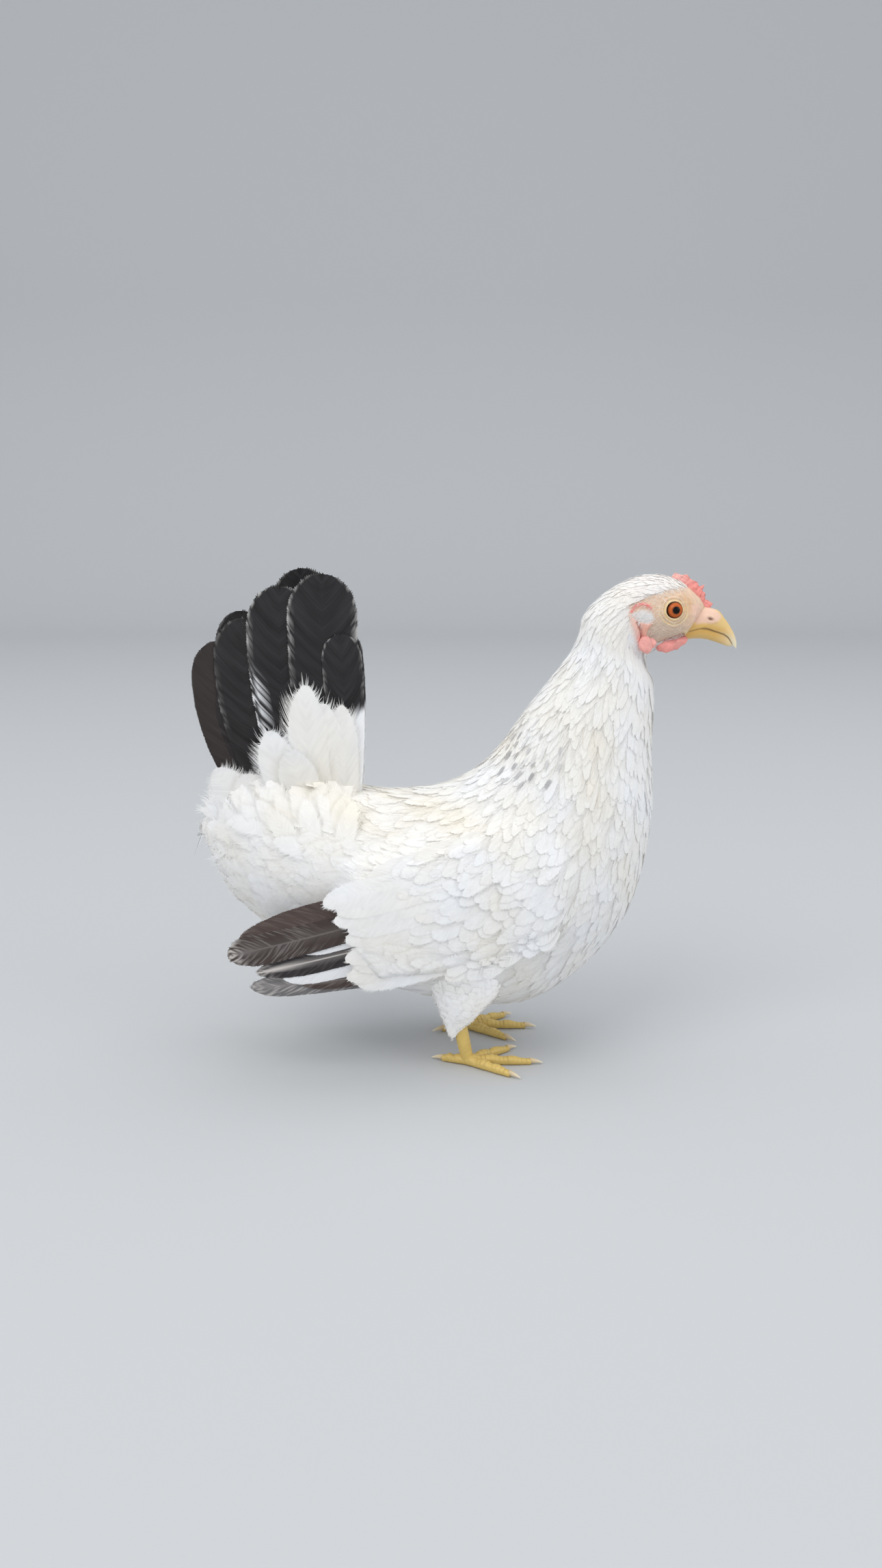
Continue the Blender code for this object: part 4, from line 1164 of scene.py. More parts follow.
def lump_form(centre, radii, tilt, seed):
    """A soft lobe of skin with fine wrinkles, its front end raised by the tilt."""
    lat, turn = grid_of(np.linspace(0.02, math.pi - 0.02, 36), circle(48))
    direction = np.stack([np.sin(lat) * np.cos(turn), np.sin(lat) * np.sin(turn), np.cos(lat)], -1)
    points, faces = closed_loft(direction * np.array(radii))
    outward = unit(points / np.array(radii) ** 2)
    creases = ripple(points, 0.0035, seed) + 0.5 * ripple(points, 0.0013, seed + 1)
    x, y, z = (points + outward * (WRINKLE * creases)[:, None]).T
    right, rise = math.cos(tilt), math.sin(tilt)
    return np.stack([x * right - z * rise, y, x * rise + z * right], -1) + np.array(centre), faces


def skin_material():
    look = bpy.context.scene.hen_skin
    white = tuple(bpy.context.scene.hen_plumage.white)
    paint = Paint("hen_skin", {"Roughness": 0.55, "Subsurface Weight": 0.15, "Subsurface Scale": 1.0,
                               "Subsurface Radius": (0.0020, 0.0008, 0.0005)})
    red, rims, dark, lore = paint.masks("region")
    patch, cheek, cere, feathered = paint.masks("tone")
    grain = paint.effect(grain_group(), Pebbles=1500.0, Cloud=320.0)
    cloud = grain["Tone"]
    colour = paint.mix(cloud, shade_of(look.face, 0.90), shade_of(look.face, 1.22))
    colour = paint.mix(paint.times(cheek, cloud), colour, tuple(look.cheek))
    for mask, share, other in ((lore, 0.8, look.lore), (rims, 0.8, look.lid), (cere, 0.7, look.cere)):
        colour = paint.mix(paint.times(mask, share), colour, tuple(other))
    reds = paint.mix(cloud, shade_of(look.comb, 0.9), shade_of(look.comb, 1.25, 0.06))
    reds = paint.mix(paint.times(patch, 0.8), reds, (0.90, 0.60, 0.54))
    colour = paint.mix(red, colour, reds)
    colour = paint.mix(paint.times(patch, paint.math("SUBTRACT", 1.0, red)), colour, white)
    # Painted shade: the dark mask darkens the creases, the eye's socket and the tops of the wattles and
    # lobes.
    colour = paint.mix(dark, colour, (0.30, 0.06, 0.05))
    colour = paint.mix(feathered, colour, white)
    return paint.finish(colour, grain["Height"], 0.00012, 0.8)


class HEN_OT_skin(Operator):
    """Builds the one skin of head, neck, body and thighs, with its comb, wattles and lobes"""

    bl_idname = "hen.skin"
    bl_label = "Skin"

    def execute(self, context):
        parts = [skin_grid()]

        def add(points, faces, red, pale, white, corner, shadow=0.0):
            level = points[:, 2]
            masks, tones = np.zeros((len(points), 4)), np.zeros((len(points), 4))
            masks[:, 0] = red
            masks[:, 2] = shadow * smooth(0.55, 1.0, (level - level.min()) / (level.max() - level.min()))
            tones[:, 0] = pale
            tones[:, 3] = white
            flat = points[:, [0, 2]]
            parts.append((points, faces, masks, tones, np.array(corner) + flat - flat.min(axis=0)))

        points, faces, pale = comb_form()
        add(points, faces, 1.0, pale, 0.0, (0.72, 0.90))
        for side in SIDES.values():
            for number, (centre, radii, tilt, pale, shadow) in enumerate(SOFT_LUMPS):
                centre = (centre[0], side * centre[1], centre[2])
                corner = (0.76 if side < 0 else 0.80, 0.90)
                add(*lump_form(centre, radii, tilt, 31 + number), 1.0, pale, 0.0, corner, shadow)
            rows, turns = grid_of(np.linspace(0, len(THIGH_SECTIONS) - 1, 24), circle(48))
            ring = thigh_surface(side)(rows, turns)
            centre = ring.mean(axis=1, keepdims=True)
            add(*closed_loft(centre + (ring - centre) * 0.90), 0.0, 0.0, 1.0, (0.84, 0.90))
        points, faces, masks, tones, patch = joined(parts)
        skin = add_mesh("skin", points, faces, skin_material(), {"region": masks, "tone": tones}, None, patch)
        settle(skin, "face_skin", "head", "neck", "torso", "rump", "comb", "thigh_left", "thigh_right",
               "wattle_left", "wattle_right", "ear_lobe_left", "ear_lobe_right")
        return {"FINISHED"}


def bill_form(sections, upper):
    """A half-round horn closed by the mouth's flat, and each point's place along it."""
    places = np.linspace(0, len(sections) - 1, 64)
    data = curve(sections, places)
    ridge, edge, half = data[:, 0:2], data[:, 2:4], data[:, 4]
    turn = np.linspace(0, math.pi, 49)
    lift = np.sin(turn) ** (0.8 if upper else 0.7)
    level = edge[:, None, :] + (ridge - edge)[:, None, :] * lift[None, :, None]
    y = half[:, None] * np.cos(turn)[None, :]
    arc = np.stack([level[..., 0], y, level[..., 1]], -1)
    share = np.linspace(-1, 1, MOUTH_COLUMNS + 2)[1:-1]
    hollow = 0.12 * (1 - share ** 2)
    flat = edge[:, None, :] + (ridge - edge)[:, None, :] * hollow[None, :, None]
    under = np.stack([flat[..., 0], half[:, None] * share[None, :], flat[..., 1]], -1)
    rings = np.concatenate([arc, under], axis=1)
    points, faces = closed_loft(rings)
    along = np.concatenate([np.repeat(places / (len(sections) - 1), rings.shape[1]), [0, 1]])
    return points, faces, along


def bill_material():
    look = bpy.context.scene.hen_skin
    paint = Paint("bill_horn", {"Roughness": 0.38, "Specular IOR Level": 0.45, "Subsurface Weight": 0.08,
                                "Subsurface Radius": (0.0015, 0.0008, 0.0003), "Subsurface Scale": 1.0})
    tip, cere, dark, deep = paint.masks("region")
    grain = paint.effect(grain_group(), Pebbles=900.0, Cloud=400.0)
    colour = paint.mix(grain["Tone"], shade_of(look.bill, 0.86), tuple(look.bill))
    deepest = (look.bill[0] * 0.86, look.bill[1] * 0.74, look.bill[2] * 0.50)
    # The dark mask is painted shade along the mouth's line and in the nostrils.
    for mask, other in ((deep, deepest), (tip, (0.88, 0.78, 0.56)), (cere, tuple(look.cere)),
                        (dark, (0.13, 0.06, 0.03))):
        colour = paint.mix(mask, colour, other)
    return paint.finish(colour, grain["Height"], 0.00004, 0.5)


class HEN_OT_bill(Operator):
    """Builds the upper and the lower bill with their nostrils"""

    bl_idname = "hen.bill"
    bl_label = "Bill"

    def execute(self, context):
        material = bill_material()
        tilt_cos, tilt_sin = math.cos(NOSTRIL_TILT), math.sin(NOSTRIL_TILT)
        mouth = [section[2:4] for section in UPPER_BILL_SECTIONS]
        for name, sections, upper in (("bill_upper", UPPER_BILL_SECTIONS, True),
                                      ("bill_lower", LOWER_BILL_SECTIONS, False)):
            points, faces, along = bill_form(sections, upper)
            x, y, z = points.T
            cere = np.zeros(len(points))
            mouth_gap, mouth_place = distance_to(x, z, mouth)
            # Painted shade along the mouth's line, where the upper bill overlaps the lower.
            dark = 0.75 * band(mouth_gap, 0.00035) * smooth(0.0, 0.1, mouth_place)
            if upper:
                dark *= smooth(0.15, 0.35, mouth_place) * (1 - smooth(0.7, 0.9, mouth_place))
                from_x, from_z = x - NOSTRIL[0], z - NOSTRIL[1]
                along_slit = from_x * tilt_cos + from_z * tilt_sin
                gap = np.hypot(along_slit / NOSTRIL_STRETCH, from_z * tilt_cos - from_x * tilt_sin)
                beside = smooth(0.0012, 0.0028, np.abs(y))
                relief = 0.0004 * band(gap - 0.0011, 0.0005) - 0.0013 * band(gap, 0.0006)
                points[:, 1] += np.sign(y) * relief * beside
                # Painted shade in the nostril's slit.
                dark = np.maximum(dark, 0.95 * band(gap, 0.00055) * beside)
                cere = smooth(-0.0008, 0.0008, depth_inside(x, z, CERE)) * 0.85
            near_mouth = band(mouth_gap - 0.0012, 0.0014) * (1 - smooth(0.6, 0.9, along))
            deep = near_mouth * 0.7 if upper else 0.4 + 0.6 * near_mouth
            pale_tip = smooth(0.45, 0.95, along) * (1.0 if upper else 0.5)
            masks = np.stack([pale_tip, cere, dark, deep], -1)
            settle(add_mesh(name + "_horn", points, faces, material, {"region": masks}), "bill_horn", name)
        return {"FINISHED"}


def eye_material():
    iris = tuple(bpy.context.scene.hen_skin.iris)
    paint = Paint("hen_eye", {"Roughness": 0.12, "Specular IOR Level": 0.0, "Coat Weight": 0.35,
                              "Coat Roughness": 0.03})
    gaze, _, _ = paint.axes("gaze")
    ramp = paint.nodes.new("ShaderNodeValToRGB")
    pupil, rim = (0.002, 0.002, 0.002), (0.02, 0.008, 0.006)
    stops = ((0.0, pupil), (0.41, pupil), (0.47, shade_of(iris, 0.5, 0.01)), (0.64, shade_of(iris, 1.3)),
             (0.85, iris), (0.95, shade_of(iris, 0.35)), (1.0, rim))
    while len(ramp.color_ramp.elements) < len(stops):
        ramp.color_ramp.elements.new(0.5)
    for element, (place, colour) in zip(ramp.color_ramp.elements, stops):
        element.position = place
        element.color = (*colour, 1.0)
    wander = paint.math("SUBTRACT", paint.noise(2600.0, 2.0), 0.5)
    paint.links.new(paint.math("MULTIPLY_ADD", wander, 0.10, gaze), ramp.inputs["Fac"])
    return paint.finish(ramp.outputs["Color"])


class HEN_OT_eyes(Operator):
    """Builds the two eyes with their pupils turned a little forward"""

    bl_idname = "hen.eyes"
    bl_label = "Eyes"

    def execute(self, context):
        material = eye_material()
        for name, side in SIDES.items():
            centre = np.array((EYE[0], side * EYE[1], EYE[2]))
            axis = unit(np.array((0.14, side * 1.0, 0.02)))
            right = unit(np.cross(axis, (0.0, 0.0, 1.0)))
            up = np.cross(right, axis)
            lat, turn = grid_of(np.linspace(0.01, math.pi - 0.01, 60), circle(72))
            radius = EYE_RADIUS * (1 + 0.025 * np.exp(-(lat / 0.5) ** 2))
            outward = (np.cos(lat)[..., None] * axis + np.sin(lat)[..., None] * (
                np.cos(turn)[..., None] * right + np.sin(turn)[..., None] * up))
            points, faces = closed_loft(centre + outward * radius[..., None])
            across = np.sin(lat) * EYE_RADIUS / EYE_OPENING
            gaze = np.where(lat < 0.5 * math.pi, across, 1.2).ravel()
            gaze = np.concatenate([gaze, [0.0, 1.2]])
            vectors = {"gaze": np.stack([gaze, gaze, gaze], -1)}
            settle(add_mesh(f"eyeball_{name}", points, faces, material, None, vectors), "eye", f"eye_{name}")
        return {"FINISHED"}


# How high a leg's plates stand, how much they differ, and how high the scales behind them stand.
PLATE_HEIGHT = 0.00022
PLATE_UNEVEN = 0.00008
PEBBLE_HEIGHT = 0.00010


def limb_form(path, radii, columns, scute, seed):
    """A scaled limb through the path's points, with overlapping plates along its upper side."""
    path, radii = np.asarray(path, float), np.asarray(radii, float)
    lengths = np.concatenate([[0], np.cumsum(np.linalg.norm(np.diff(path, axis=0), axis=1))])
    rows = max(12, int(lengths[-1] / 0.0003))
    places = np.interp(np.linspace(0, lengths[-1], rows), lengths, np.arange(len(path)))
    line = curve(path, places)
    radius = curve(radii[:, None], places)[:, 0]
    along = unit(np.gradient(line, axis=0))
    reference = np.array((1.0, 0.0, 0.0)) if abs(along[0][2]) > 0.7 else np.array((0.0, 0.0, 1.0))
    across = unit(np.cross(along, reference))
    up = np.cross(across, along)
    turn = circle(columns)
    step = np.linspace(0, lengths[-1], rows) / scute
    phase = step % 1.0
    plate = PLATE_HEIGHT * (1 - phase) ** 0.5 * smooth(0.0, 0.08, phase)
    front = smooth(-0.1, 0.5, np.cos(turn))
    pebble = PEBBLE_HEIGHT * np.sin(turn * 9)[None, :] * np.sin(step * 9)[:, None]
    height = plate[:, None] * front[None, :] + pebble * (1 - front)[None, :]
    uneven = np.random.default_rng(seed).normal(size=int(step[-1]) + 2)
    height += PLATE_UNEVEN * uneven[step.astype(int)][:, None] * front
    ring = (np.cos(turn)[None, :, None] * up[:, None, :] + np.sin(turn)[None, :, None] * across[:, None, :])
    rings = line[:, None, :] + ring * (radius[:, None, None] + height[..., None])
    points, faces = closed_loft(rings)
    seam = np.clip(1 - phase * 9, 0, 1)[:, None] * front[None, :]
    return points, faces, np.concatenate([seam.ravel(), [0, 0]])


class HEN_OT_feet(Operator):
    """Builds the scaled feet and their claws"""

    bl_idname = "hen.feet"
    bl_label = "Feet"

    def execute(self, context):
        look = context.scene.hen_skin
        paint = Paint("leg_scales", {"Roughness": 0.45})
        grain = paint.effect(grain_group(), Pebbles=1400.0)
        colour = paint.mix(grain["Tone"], shade_of(look.leg, 0.78), tuple(look.leg))
        colour = paint.mix(paint.times(paint.masks("region")[0], 0.6), colour, (0.35, 0.20, 0.06))
        scale = paint.finish(colour, grain["Height"], 0.00006, 0.6)
        paint = Paint("claw_horn", {"Roughness": 0.32})
        horn = paint.finish(paint.mix(paint.masks("region")[0], (0.62, 0.46, 0.24), (0.80, 0.72, 0.56)))
        for name, side in SIDES.items():
            top = np.array((HOCK[0], side * HOCK[1], HOCK[2] + 0.004))
            ball = np.array((FOOT[0], side * FOOT[1], TOE_RADIUS))
            shank = [top + (ball - top) * share for share in (0.0, 0.35, 0.7, 1.0)]
            parts = [limb_form(shank, (0.0040, 0.0032, 0.0032, 0.0026), 40, 0.0028, 5)]
            for toe, (length, angle) in TOES.items():
                turn = math.radians(angle)
                heading = np.array((math.cos(turn), side * math.sin(turn), 0.0))
                radii = [TOE_RADIUS * swell * (1 - 0.18 * share) for share, swell in TOE_SWELLS]
                path = [np.array((FOOT[0], side * FOOT[1], radius)) + heading * length * share
                        for (share, _), radius in zip(TOE_SWELLS, radii)]
                parts.append(limb_form(path, radii, 32, 0.0022, 6))
                self.claw(f"claw_{toe}_{name}", side, heading, length, horn)
            points, faces, seam = joined(parts)
            points[:, 2] = np.maximum(points[:, 2], FOOT_FLOOR)
            piece = add_mesh(f"scaled_foot_{name}", points, faces, scale, {"region": first_mask(seam)})
            settle(piece, "leg_scale", f"foot_{name}")
        return {"FINISHED"}

    def claw(self, node, side, heading, length, material):
        start = np.array((FOOT[0], side * FOOT[1], 0.0)) + heading * (length - 0.0006)
        rows, columns = 20, 16
        share = np.linspace(0, 1, rows)
        height = 0.0021 - 0.0011 * share ** 2
        radius = 0.0014 * (1 - share) ** 0.7 + 0.0001
        line = start + heading * (CLAW_LENGTH * share)[:, None] + np.array((0, 0, 1.0)) * height[:, None]
        across = np.cross(heading, (0.0, 0.0, 1.0))
        turn = circle(columns)
        ring = np.cos(turn)[:, None] * np.array((0, 0, 1.0)) + 0.8 * np.sin(turn)[:, None] * across
        points, faces = closed_loft(line[:, None, :] + ring[None] * radius[:, None, None])
        points[:, 2] = np.maximum(points[:, 2], FOOT_FLOOR)
        masks = first_mask(np.concatenate([np.repeat(share, columns), [0, 1]]))
        settle(add_mesh(node + "_horn", points, faces, material, {"region": masks}), "claw_horn", node)


# Where along the body each size is given: length, half width and spacing of its feathers.
SIZE_PLACES = (0.0, 1.0, 2.0, 3.0, 4.0, 5.0, 6.0, 7.0, 8.0, 9.0, 10.0, 12.0, 14.0, 16.0)
FEATHER_LENGTHS = (
    0.0026, 0.0032, 0.0042, 0.0058, 0.0085, 0.013, 0.019, 0.024, 0.028, 0.030, 0.031, 0.031, 0.028, 0.022,
)
FEATHER_HALF_WIDTHS = (
    0.0004, 0.0005, 0.0006, 0.0008, 0.0012, 0.0016, 0.0021, 0.0026, 0.0034, 0.0044, 0.0050, 0.0060, 0.0080,
    0.0080,
)
FEATHER_SPACINGS = (
    0.0007, 0.0007, 0.0008, 0.0010, 0.0013, 0.0017, 0.0021, 0.0024, 0.0029, 0.0035, 0.0039, 0.0044, 0.0054,
    0.0056,
)
# How deep a body feather's root lies, and how much of its length more.
ROOT_SINK = 0.0002
ROOT_SLOPE = 0.055
# How deep the root of a bristle or a loose strand lies.
STRAND_SINK = 0.0003
# The oval of the hackle's dark marks: its middle and its half size, along and up.
TICKS_X = (0.026, 0.016)
TICKS_Z = (0.156, 0.017)
# How far the body's feathers reach into the wing's outline, and the cosine of the turn at which
# the back's feathers end and the belly's begin.
WING_OVERLAP = 0.004
FLANK = 0.35
# How many differing vanes each kind of feather has.
KINDS = 6


def down_the_body(points, du):
    """Feathers point along the surface's first direction: from head to tail, or down the thigh."""
    return du


def over_the_back(points, du):
    """Feathers of the back point to the tail, and hang down over the wing on the flanks."""
    along = unit(du)
    share = smooth(0.006, 0.026, np.abs(points[:, 1])) * smooth(0.050, 0.010, points[:, 0])
    share = share * smooth(0.165, 0.130, points[:, 2])
    along[:, 2] -= 0.55 * share
    return along


def up_the_tail(points, du):
    """Feathers at the foot of the tail fan out upwards."""
    fan = 14.0 * np.minimum(points[:, 0] + 0.0580, 0.0) - 0.45 * smooth(0.140, 0.112, points[:, 2])
    return np.stack([fan, np.zeros_like(fan), np.ones_like(fan)], -1)


def lay_piece(name, surface, out, roots, lie, shapes, patch_at, seed, nodes=(), steps=4,
              softness=SOFTNESS):
    """One coat piece of white plumage with a feather at each root."""
    heap = Heap()
    lay_feathers(heap, surface, out, *roots, lie, shapes, patch_at, seed, steps)
    settle(heap.build(name, whites(), softness), "feather_white", *nodes)


def body_feathers(name, first, last, where, shapes, seed, follow=1.0, lift=0.0004, flow=down_the_body,
                  twist=7.0, spacing_share=1.0, length_share=1.0, camber=0.04):
    """One coat piece of feathers on the body between two sections, where the mask allows them."""
    look = bpy.context.scene.hen_plumage

    def spacing(s, turn, points):
        gap = np.interp(s, SIZE_PLACES, FEATHER_SPACINGS) * look.spacing * spacing_share
        return np.where(where(s, turn, points), gap, 0.0)

    roots = scatter(draped_surface, (first, last), FULL_TURN, spacing, seed)
    draw = np.random.default_rng(seed + 1)
    s, number = roots[0], len(roots[0])
    length = np.interp(s, SIZE_PLACES, FEATHER_LENGTHS) * look.length * draw.uniform(0.88, 1.14, number)
    length = length * length_share
    lie = make_lie(
        number, flow, length=length,
        half_width=np.interp(s, SIZE_PLACES, FEATHER_HALF_WIDTHS) * draw.uniform(0.9, 1.12, number),
        sink=ROOT_SINK + ROOT_SLOPE * length, lift=lift * draw.uniform(0.2, 1.8, number), camber=camber,
        tilt=draw.normal(0, 0.05, number), twist=np.radians(draw.normal(0, twist, number)), follow=follow,
        bend=np.radians(draw.normal(0, 6, number)))
    lay_piece(name, draped_surface, 1, roots, lie, shapes, body_patch, seed + 2)


def over_wing(points):
    """How far points lie inside the wing's outline, seen from the side."""
    return depth_inside(points[..., 0], points[..., 2], WING_OUTLINE)


def vanes_of(seed, *numbers, **more):
    """Differing vanes of one kind."""
    return [vane_shape(*numbers, seed + k, **more) for k in range(KINDS)]


def pointed_shapes(barbs, ratio, split, seed):
    return vanes_of(seed, barbs, ratio, split, 0.5, 0.45, 1.6, fray=0.04, gaps=0.05)


def soft_shapes(barbs, ratio, split, full=0.55, blunt=1.9, seed=500):
    return vanes_of(seed, barbs, ratio, split, 0.5, full, blunt, fray=0.05, gaps=0.06, columns=(), bias=0.55)


def fluffy_shapes(barbs, ratio, split, seed):
    return vanes_of(seed, barbs, ratio, split, 0.55, 0.6, 2.0, fray=0.05, gaps=0.04, loose=True)


def bare_face(points, s):
    """Whether a point is on the bare face below the feathers' limit."""
    x, z = points[..., 0], points[..., 2]
    side = (np.abs(points[..., 1]) > 0.004) | (x > 0.1010)
    return (z < on_line(x, FEATHER_LIMIT)) & (x > 0.0725) & side | (s < 0.6)


class HEN_OT_head_feathers(Operator):
    """Lays the small feathers of the crown, nape and throat"""

    bl_idname = "hen.head_feathers"
    bl_label = "Head feathers"

    def execute(self, context):
        shapes = pointed_shapes(8, 0.15, 0.8, 110)
        body_feathers("crown_feathers", 0.5, 4.0, lambda s, turn, p: ~bare_face(p, s) & (np.cos(turn) > -0.3),
                      shapes, 41, lift=0.0003, twist=9.0)
        body_feathers("nape_feathers", 4.0, 5.6, lambda s, turn, p: ~bare_face(p, s), shapes, 44,
                      lift=0.0003, twist=8.0)
        body_feathers("throat_feathers", 0.8, 4.0, lambda s, turn, p: (np.cos(turn) < -0.80) & (s > 1.0),
                      shapes, 47, lift=0.0003, twist=9.0)
        return {"FINISHED"}


class HEN_OT_bristles(Operator):
    """Sets the fine pale bristles on the bare face, along the cheek's edge and on the ears"""

    bl_idname = "hen.bristles"
    bl_label = "Face bristles"

    def execute(self, context):
        def face_spacing(s, turn, points):
            x, z = points[..., 0], points[..., 2]
            radius = np.hypot(x - EYE[0], z - EYE[2])
            under = on_line(x, FEATHER_LIMIT) - z
            bare = bare_face(points, s) & (radius > 0.0050) & (s > 0.75) & (np.cos(turn) > -0.93)
            bare &= depth_inside(x, z, EAR_LOBE) < 0.0
            gap = 0.00070 - 0.00026 * smooth(0.0045, 0.0, under) + 0.0004 * smooth(0.0990, 0.1030, x)
            return np.where(bare, gap - 0.00012 * smooth(0.2150, 0.2120, z), 0.0)

        def edge_spacing(s, turn, points):
            gap, _ = distance_to(points[..., 0], points[..., 2], CHEEK_EDGE)
            return np.where((gap < 0.0006) & (np.abs(points[..., 1]) > 0.004), 0.00042, 0.0)

        def ear_spacing(s, turn, points):
            inside = depth_inside(points[..., 0], points[..., 2], EAR_PATCH)
            return np.where((inside > -0.0006) & (np.abs(points[..., 1]) > 0.006), 0.00045, 0.0)

        self.tuft("face_bristles", face_spacing, 51, (0.0010, 0.0022), (0.00005, 0.00009), 18.0, 0.35)
        self.tuft("cheek_fringe", edge_spacing, 54, (0.0014, 0.0026), (0.00006, 0.00010), 22.0, 0.1)
        self.tuft("ear_tufts", ear_spacing, 57, (0.0022, 0.0036), (0.00008, 0.00013), 26.0, 0.0)
        return {"FINISHED"}

    def tuft(self, name, spacing, seed, lengths, half_widths, twist, greyness):
        roots = scatter(body_surface, (0.6, 5.6), FULL_TURN, spacing, seed, grid=(300, 300), tries=7.0)
        draw = np.random.default_rng(seed + 1)
        number = len(roots[0])

        def tint(points, along, across, chance):
            masks = plumage_tint(points, along, across, chance)
            masks[..., 1] = greyness * (chance < 0.45)
            return masks

        lie = make_lie(
            number, down_the_body, tint, length=draw.uniform(*lengths, number),
            half_width=draw.uniform(*half_widths, number), sink=STRAND_SINK,
            lift=draw.uniform(0.0004, 0.0009, number),
            twist=np.radians(draw.normal(0, twist, number)), follow=0.8,
            bend=np.radians(draw.normal(0, 14, number)))
        lay_piece(name, body_surface, 1, roots, lie, [wisp_shape()], body_patch, seed + 2, steps=3,
                  softness=0.4)


class HEN_OT_neck_feathers(Operator):
    """Lays the narrow hackle feathers of the neck, and the dark marks low on its back"""

    bl_idname = "hen.neck_feathers"
    bl_label = "Neck feathers"

    def execute(self, context):
        body_feathers("hackle_upper", 5.4, 7.2, lambda s, turn, p: np.ones_like(s, bool),
                      pointed_shapes(16, 0.14, 0.88, 120), 61, twist=6.0)
        body_feathers("hackle_lower", 7.2, 8.6, lambda s, turn, p: np.ones_like(s, bool),
                      soft_shapes(36, 0.12, 0.78, 0.45, 1.6, seed=130), 64, twist=6.0, lift=0.0003)

        def spacing(s, turn, points):
            x, y, z = np.moveaxis(points, -1, 0)
            near = ((x - TICKS_X[0]) / TICKS_X[1]) ** 2 + ((z - TICKS_Z[0]) / TICKS_Z[1]) ** 2
            return np.where((near < 1) & (np.abs(y) > 0.002), 0.0037 + 0.0034 * near, 0.0)

        roots = scatter(draped_surface, (6.8, 9.4), FULL_TURN, spacing, 151)
        draw = np.random.default_rng(152)
        number = len(roots[0])
        lie = make_lie(
            number, down_the_body, tick_tint, length=draw.uniform(0.0040, 0.0085, number),
            half_width=draw.uniform(0.0005, 0.0011, number), sink=-0.0006,
            lift=draw.uniform(0.0007, 0.0009, number), twist=np.radians(draw.normal(0, 8, number)),
            bend=np.radians(draw.normal(0, 6, number)))
        shapes = pointed_shapes(12, 0.12, 0.6, 153)
        lay_piece("hackle_marks", draped_surface, 1, roots, lie, shapes, body_patch, 154, ("neck",))
        return {"FINISHED"}


class HEN_OT_body_feathers(Operator):
    """Lays the soft feathers of the breast, back and belly"""

    bl_idname = "hen.body_feathers"
    bl_label = "Body feathers"

    def execute(self, context):
        def upper(s, turn, points):
            return (over_wing(points) < WING_OVERLAP) & (np.cos(turn) >= FLANK)

        def lower(s, turn, points):
            return (over_wing(points) < WING_OVERLAP) & (np.cos(turn) < FLANK)

        shapes = soft_shapes(46, 0.16, 0.76)
        body_feathers("breast_feathers", 8.6, 10.6, lower, shapes, 71, lift=0.0003)
        body_feathers("back_feathers", 8.6, 12.8, upper, shapes, 74, lift=0.0003, flow=over_the_back)
        body_feathers("belly_feathers", 10.6, 13.2, lower, soft_shapes(46, 0.2, 0.62, seed=520), 77)
        return {"FINISHED"}


def single_feather(heap, surface, out, root, tip, half_width, bend, sink, lift, shape, tint, patch_at, seed):
    """Lays one long feather from its root to its tip on a surface given by x and z."""
    delta = np.array(tip) - np.array(root)
    length = float(np.linalg.norm(delta))
    heading = np.array((delta[0], 0.0, delta[1])) / length
    slant = 4 * bend / length
    lie = make_lie(
        1, lambda points, du: np.broadcast_to(heading, points.shape), tint, length=length * 1.02,
        half_width=half_width, sink=sink, lift=lift, camber=0.07, tilt=0.04, twist=-out * slant,
        bend=out * 2 * slant)
    roots = np.array([root[0]]), np.array([root[1]])
    lay_feathers(heap, surface, out, *roots, lie, [shape], patch_at, seed, steps=8)


# The soft tufts whose tips make the rump's outline: where each tip is (x, z), its length, its
# half width and its distance from the middle at the tip.
Tuft = namedtuple("Tuft", "tip length half_width reach")
RUMP_CENTRE = (-0.0700, 0.1180)
RUMP_TUFTS = (
    Tuft((-0.1190, 0.1430), 0.036, 0.0110, 0.0060),
    Tuft((-0.1285, 0.1330), 0.038, 0.0105, 0.0040),
    Tuft((-0.1315, 0.1250), 0.038, 0.0110, 0.0080),
    Tuft((-0.1305, 0.1110), 0.038, 0.0105, 0.0050),
    Tuft((-0.1255, 0.1020), 0.038, 0.0105, 0.0100),
    Tuft((-0.1250, 0.0940), 0.038, 0.0110, 0.0050),
    Tuft((-0.1180, 0.0850), 0.038, 0.0110, 0.0090),
    Tuft((-0.1090, 0.0765), 0.038, 0.0110, 0.0110),
)
# The box (x, z) in which the wing's small feathers have their roots, and its unwrapped patch.
WING_X = (-0.056, 0.046)
WING_Z = (0.050, 0.126)
WING_PATCH = (0.02, (-0.115, 0.035), (0.045, 0.125))
# The box of the white layer under the wing's feathers, and how deep it lies.
PAD_X = (-0.058, 0.046)
PAD_Z = (0.050, 0.125)
PAD_DEPTH = 0.0032
# Where the wisps' sizes are given along the body, their lengths and the gaps between them.
WISP_LENGTHS = ((0.5, 0.0016), (4.0, 0.0045), (8.0, 0.0095), (16.0, 0.0100))
WISP_GAPS = ((0.5, 0.0006), (4.0, 0.0008), (6.0, 0.0010), (9.0, 0.0013), (16.0, 0.0013))


def tuft_surface(side, tuft, heading):
    """A bowed sheet through a tuft's tip that meets the body's side at its root."""
    def reach(x, z):
        share = ((tuft.tip[0] - x) * heading[0] + (tuft.tip[1] - z) * heading[1]) / tuft.length
        aside = (x - tuft.tip[0]) * heading[1] - (z - tuft.tip[1]) * heading[0]
        return tuft.reach + 0.0180 * share * (1 - 0.35 * share) - 22.0 * aside ** 2

    return sheet(side, reach)


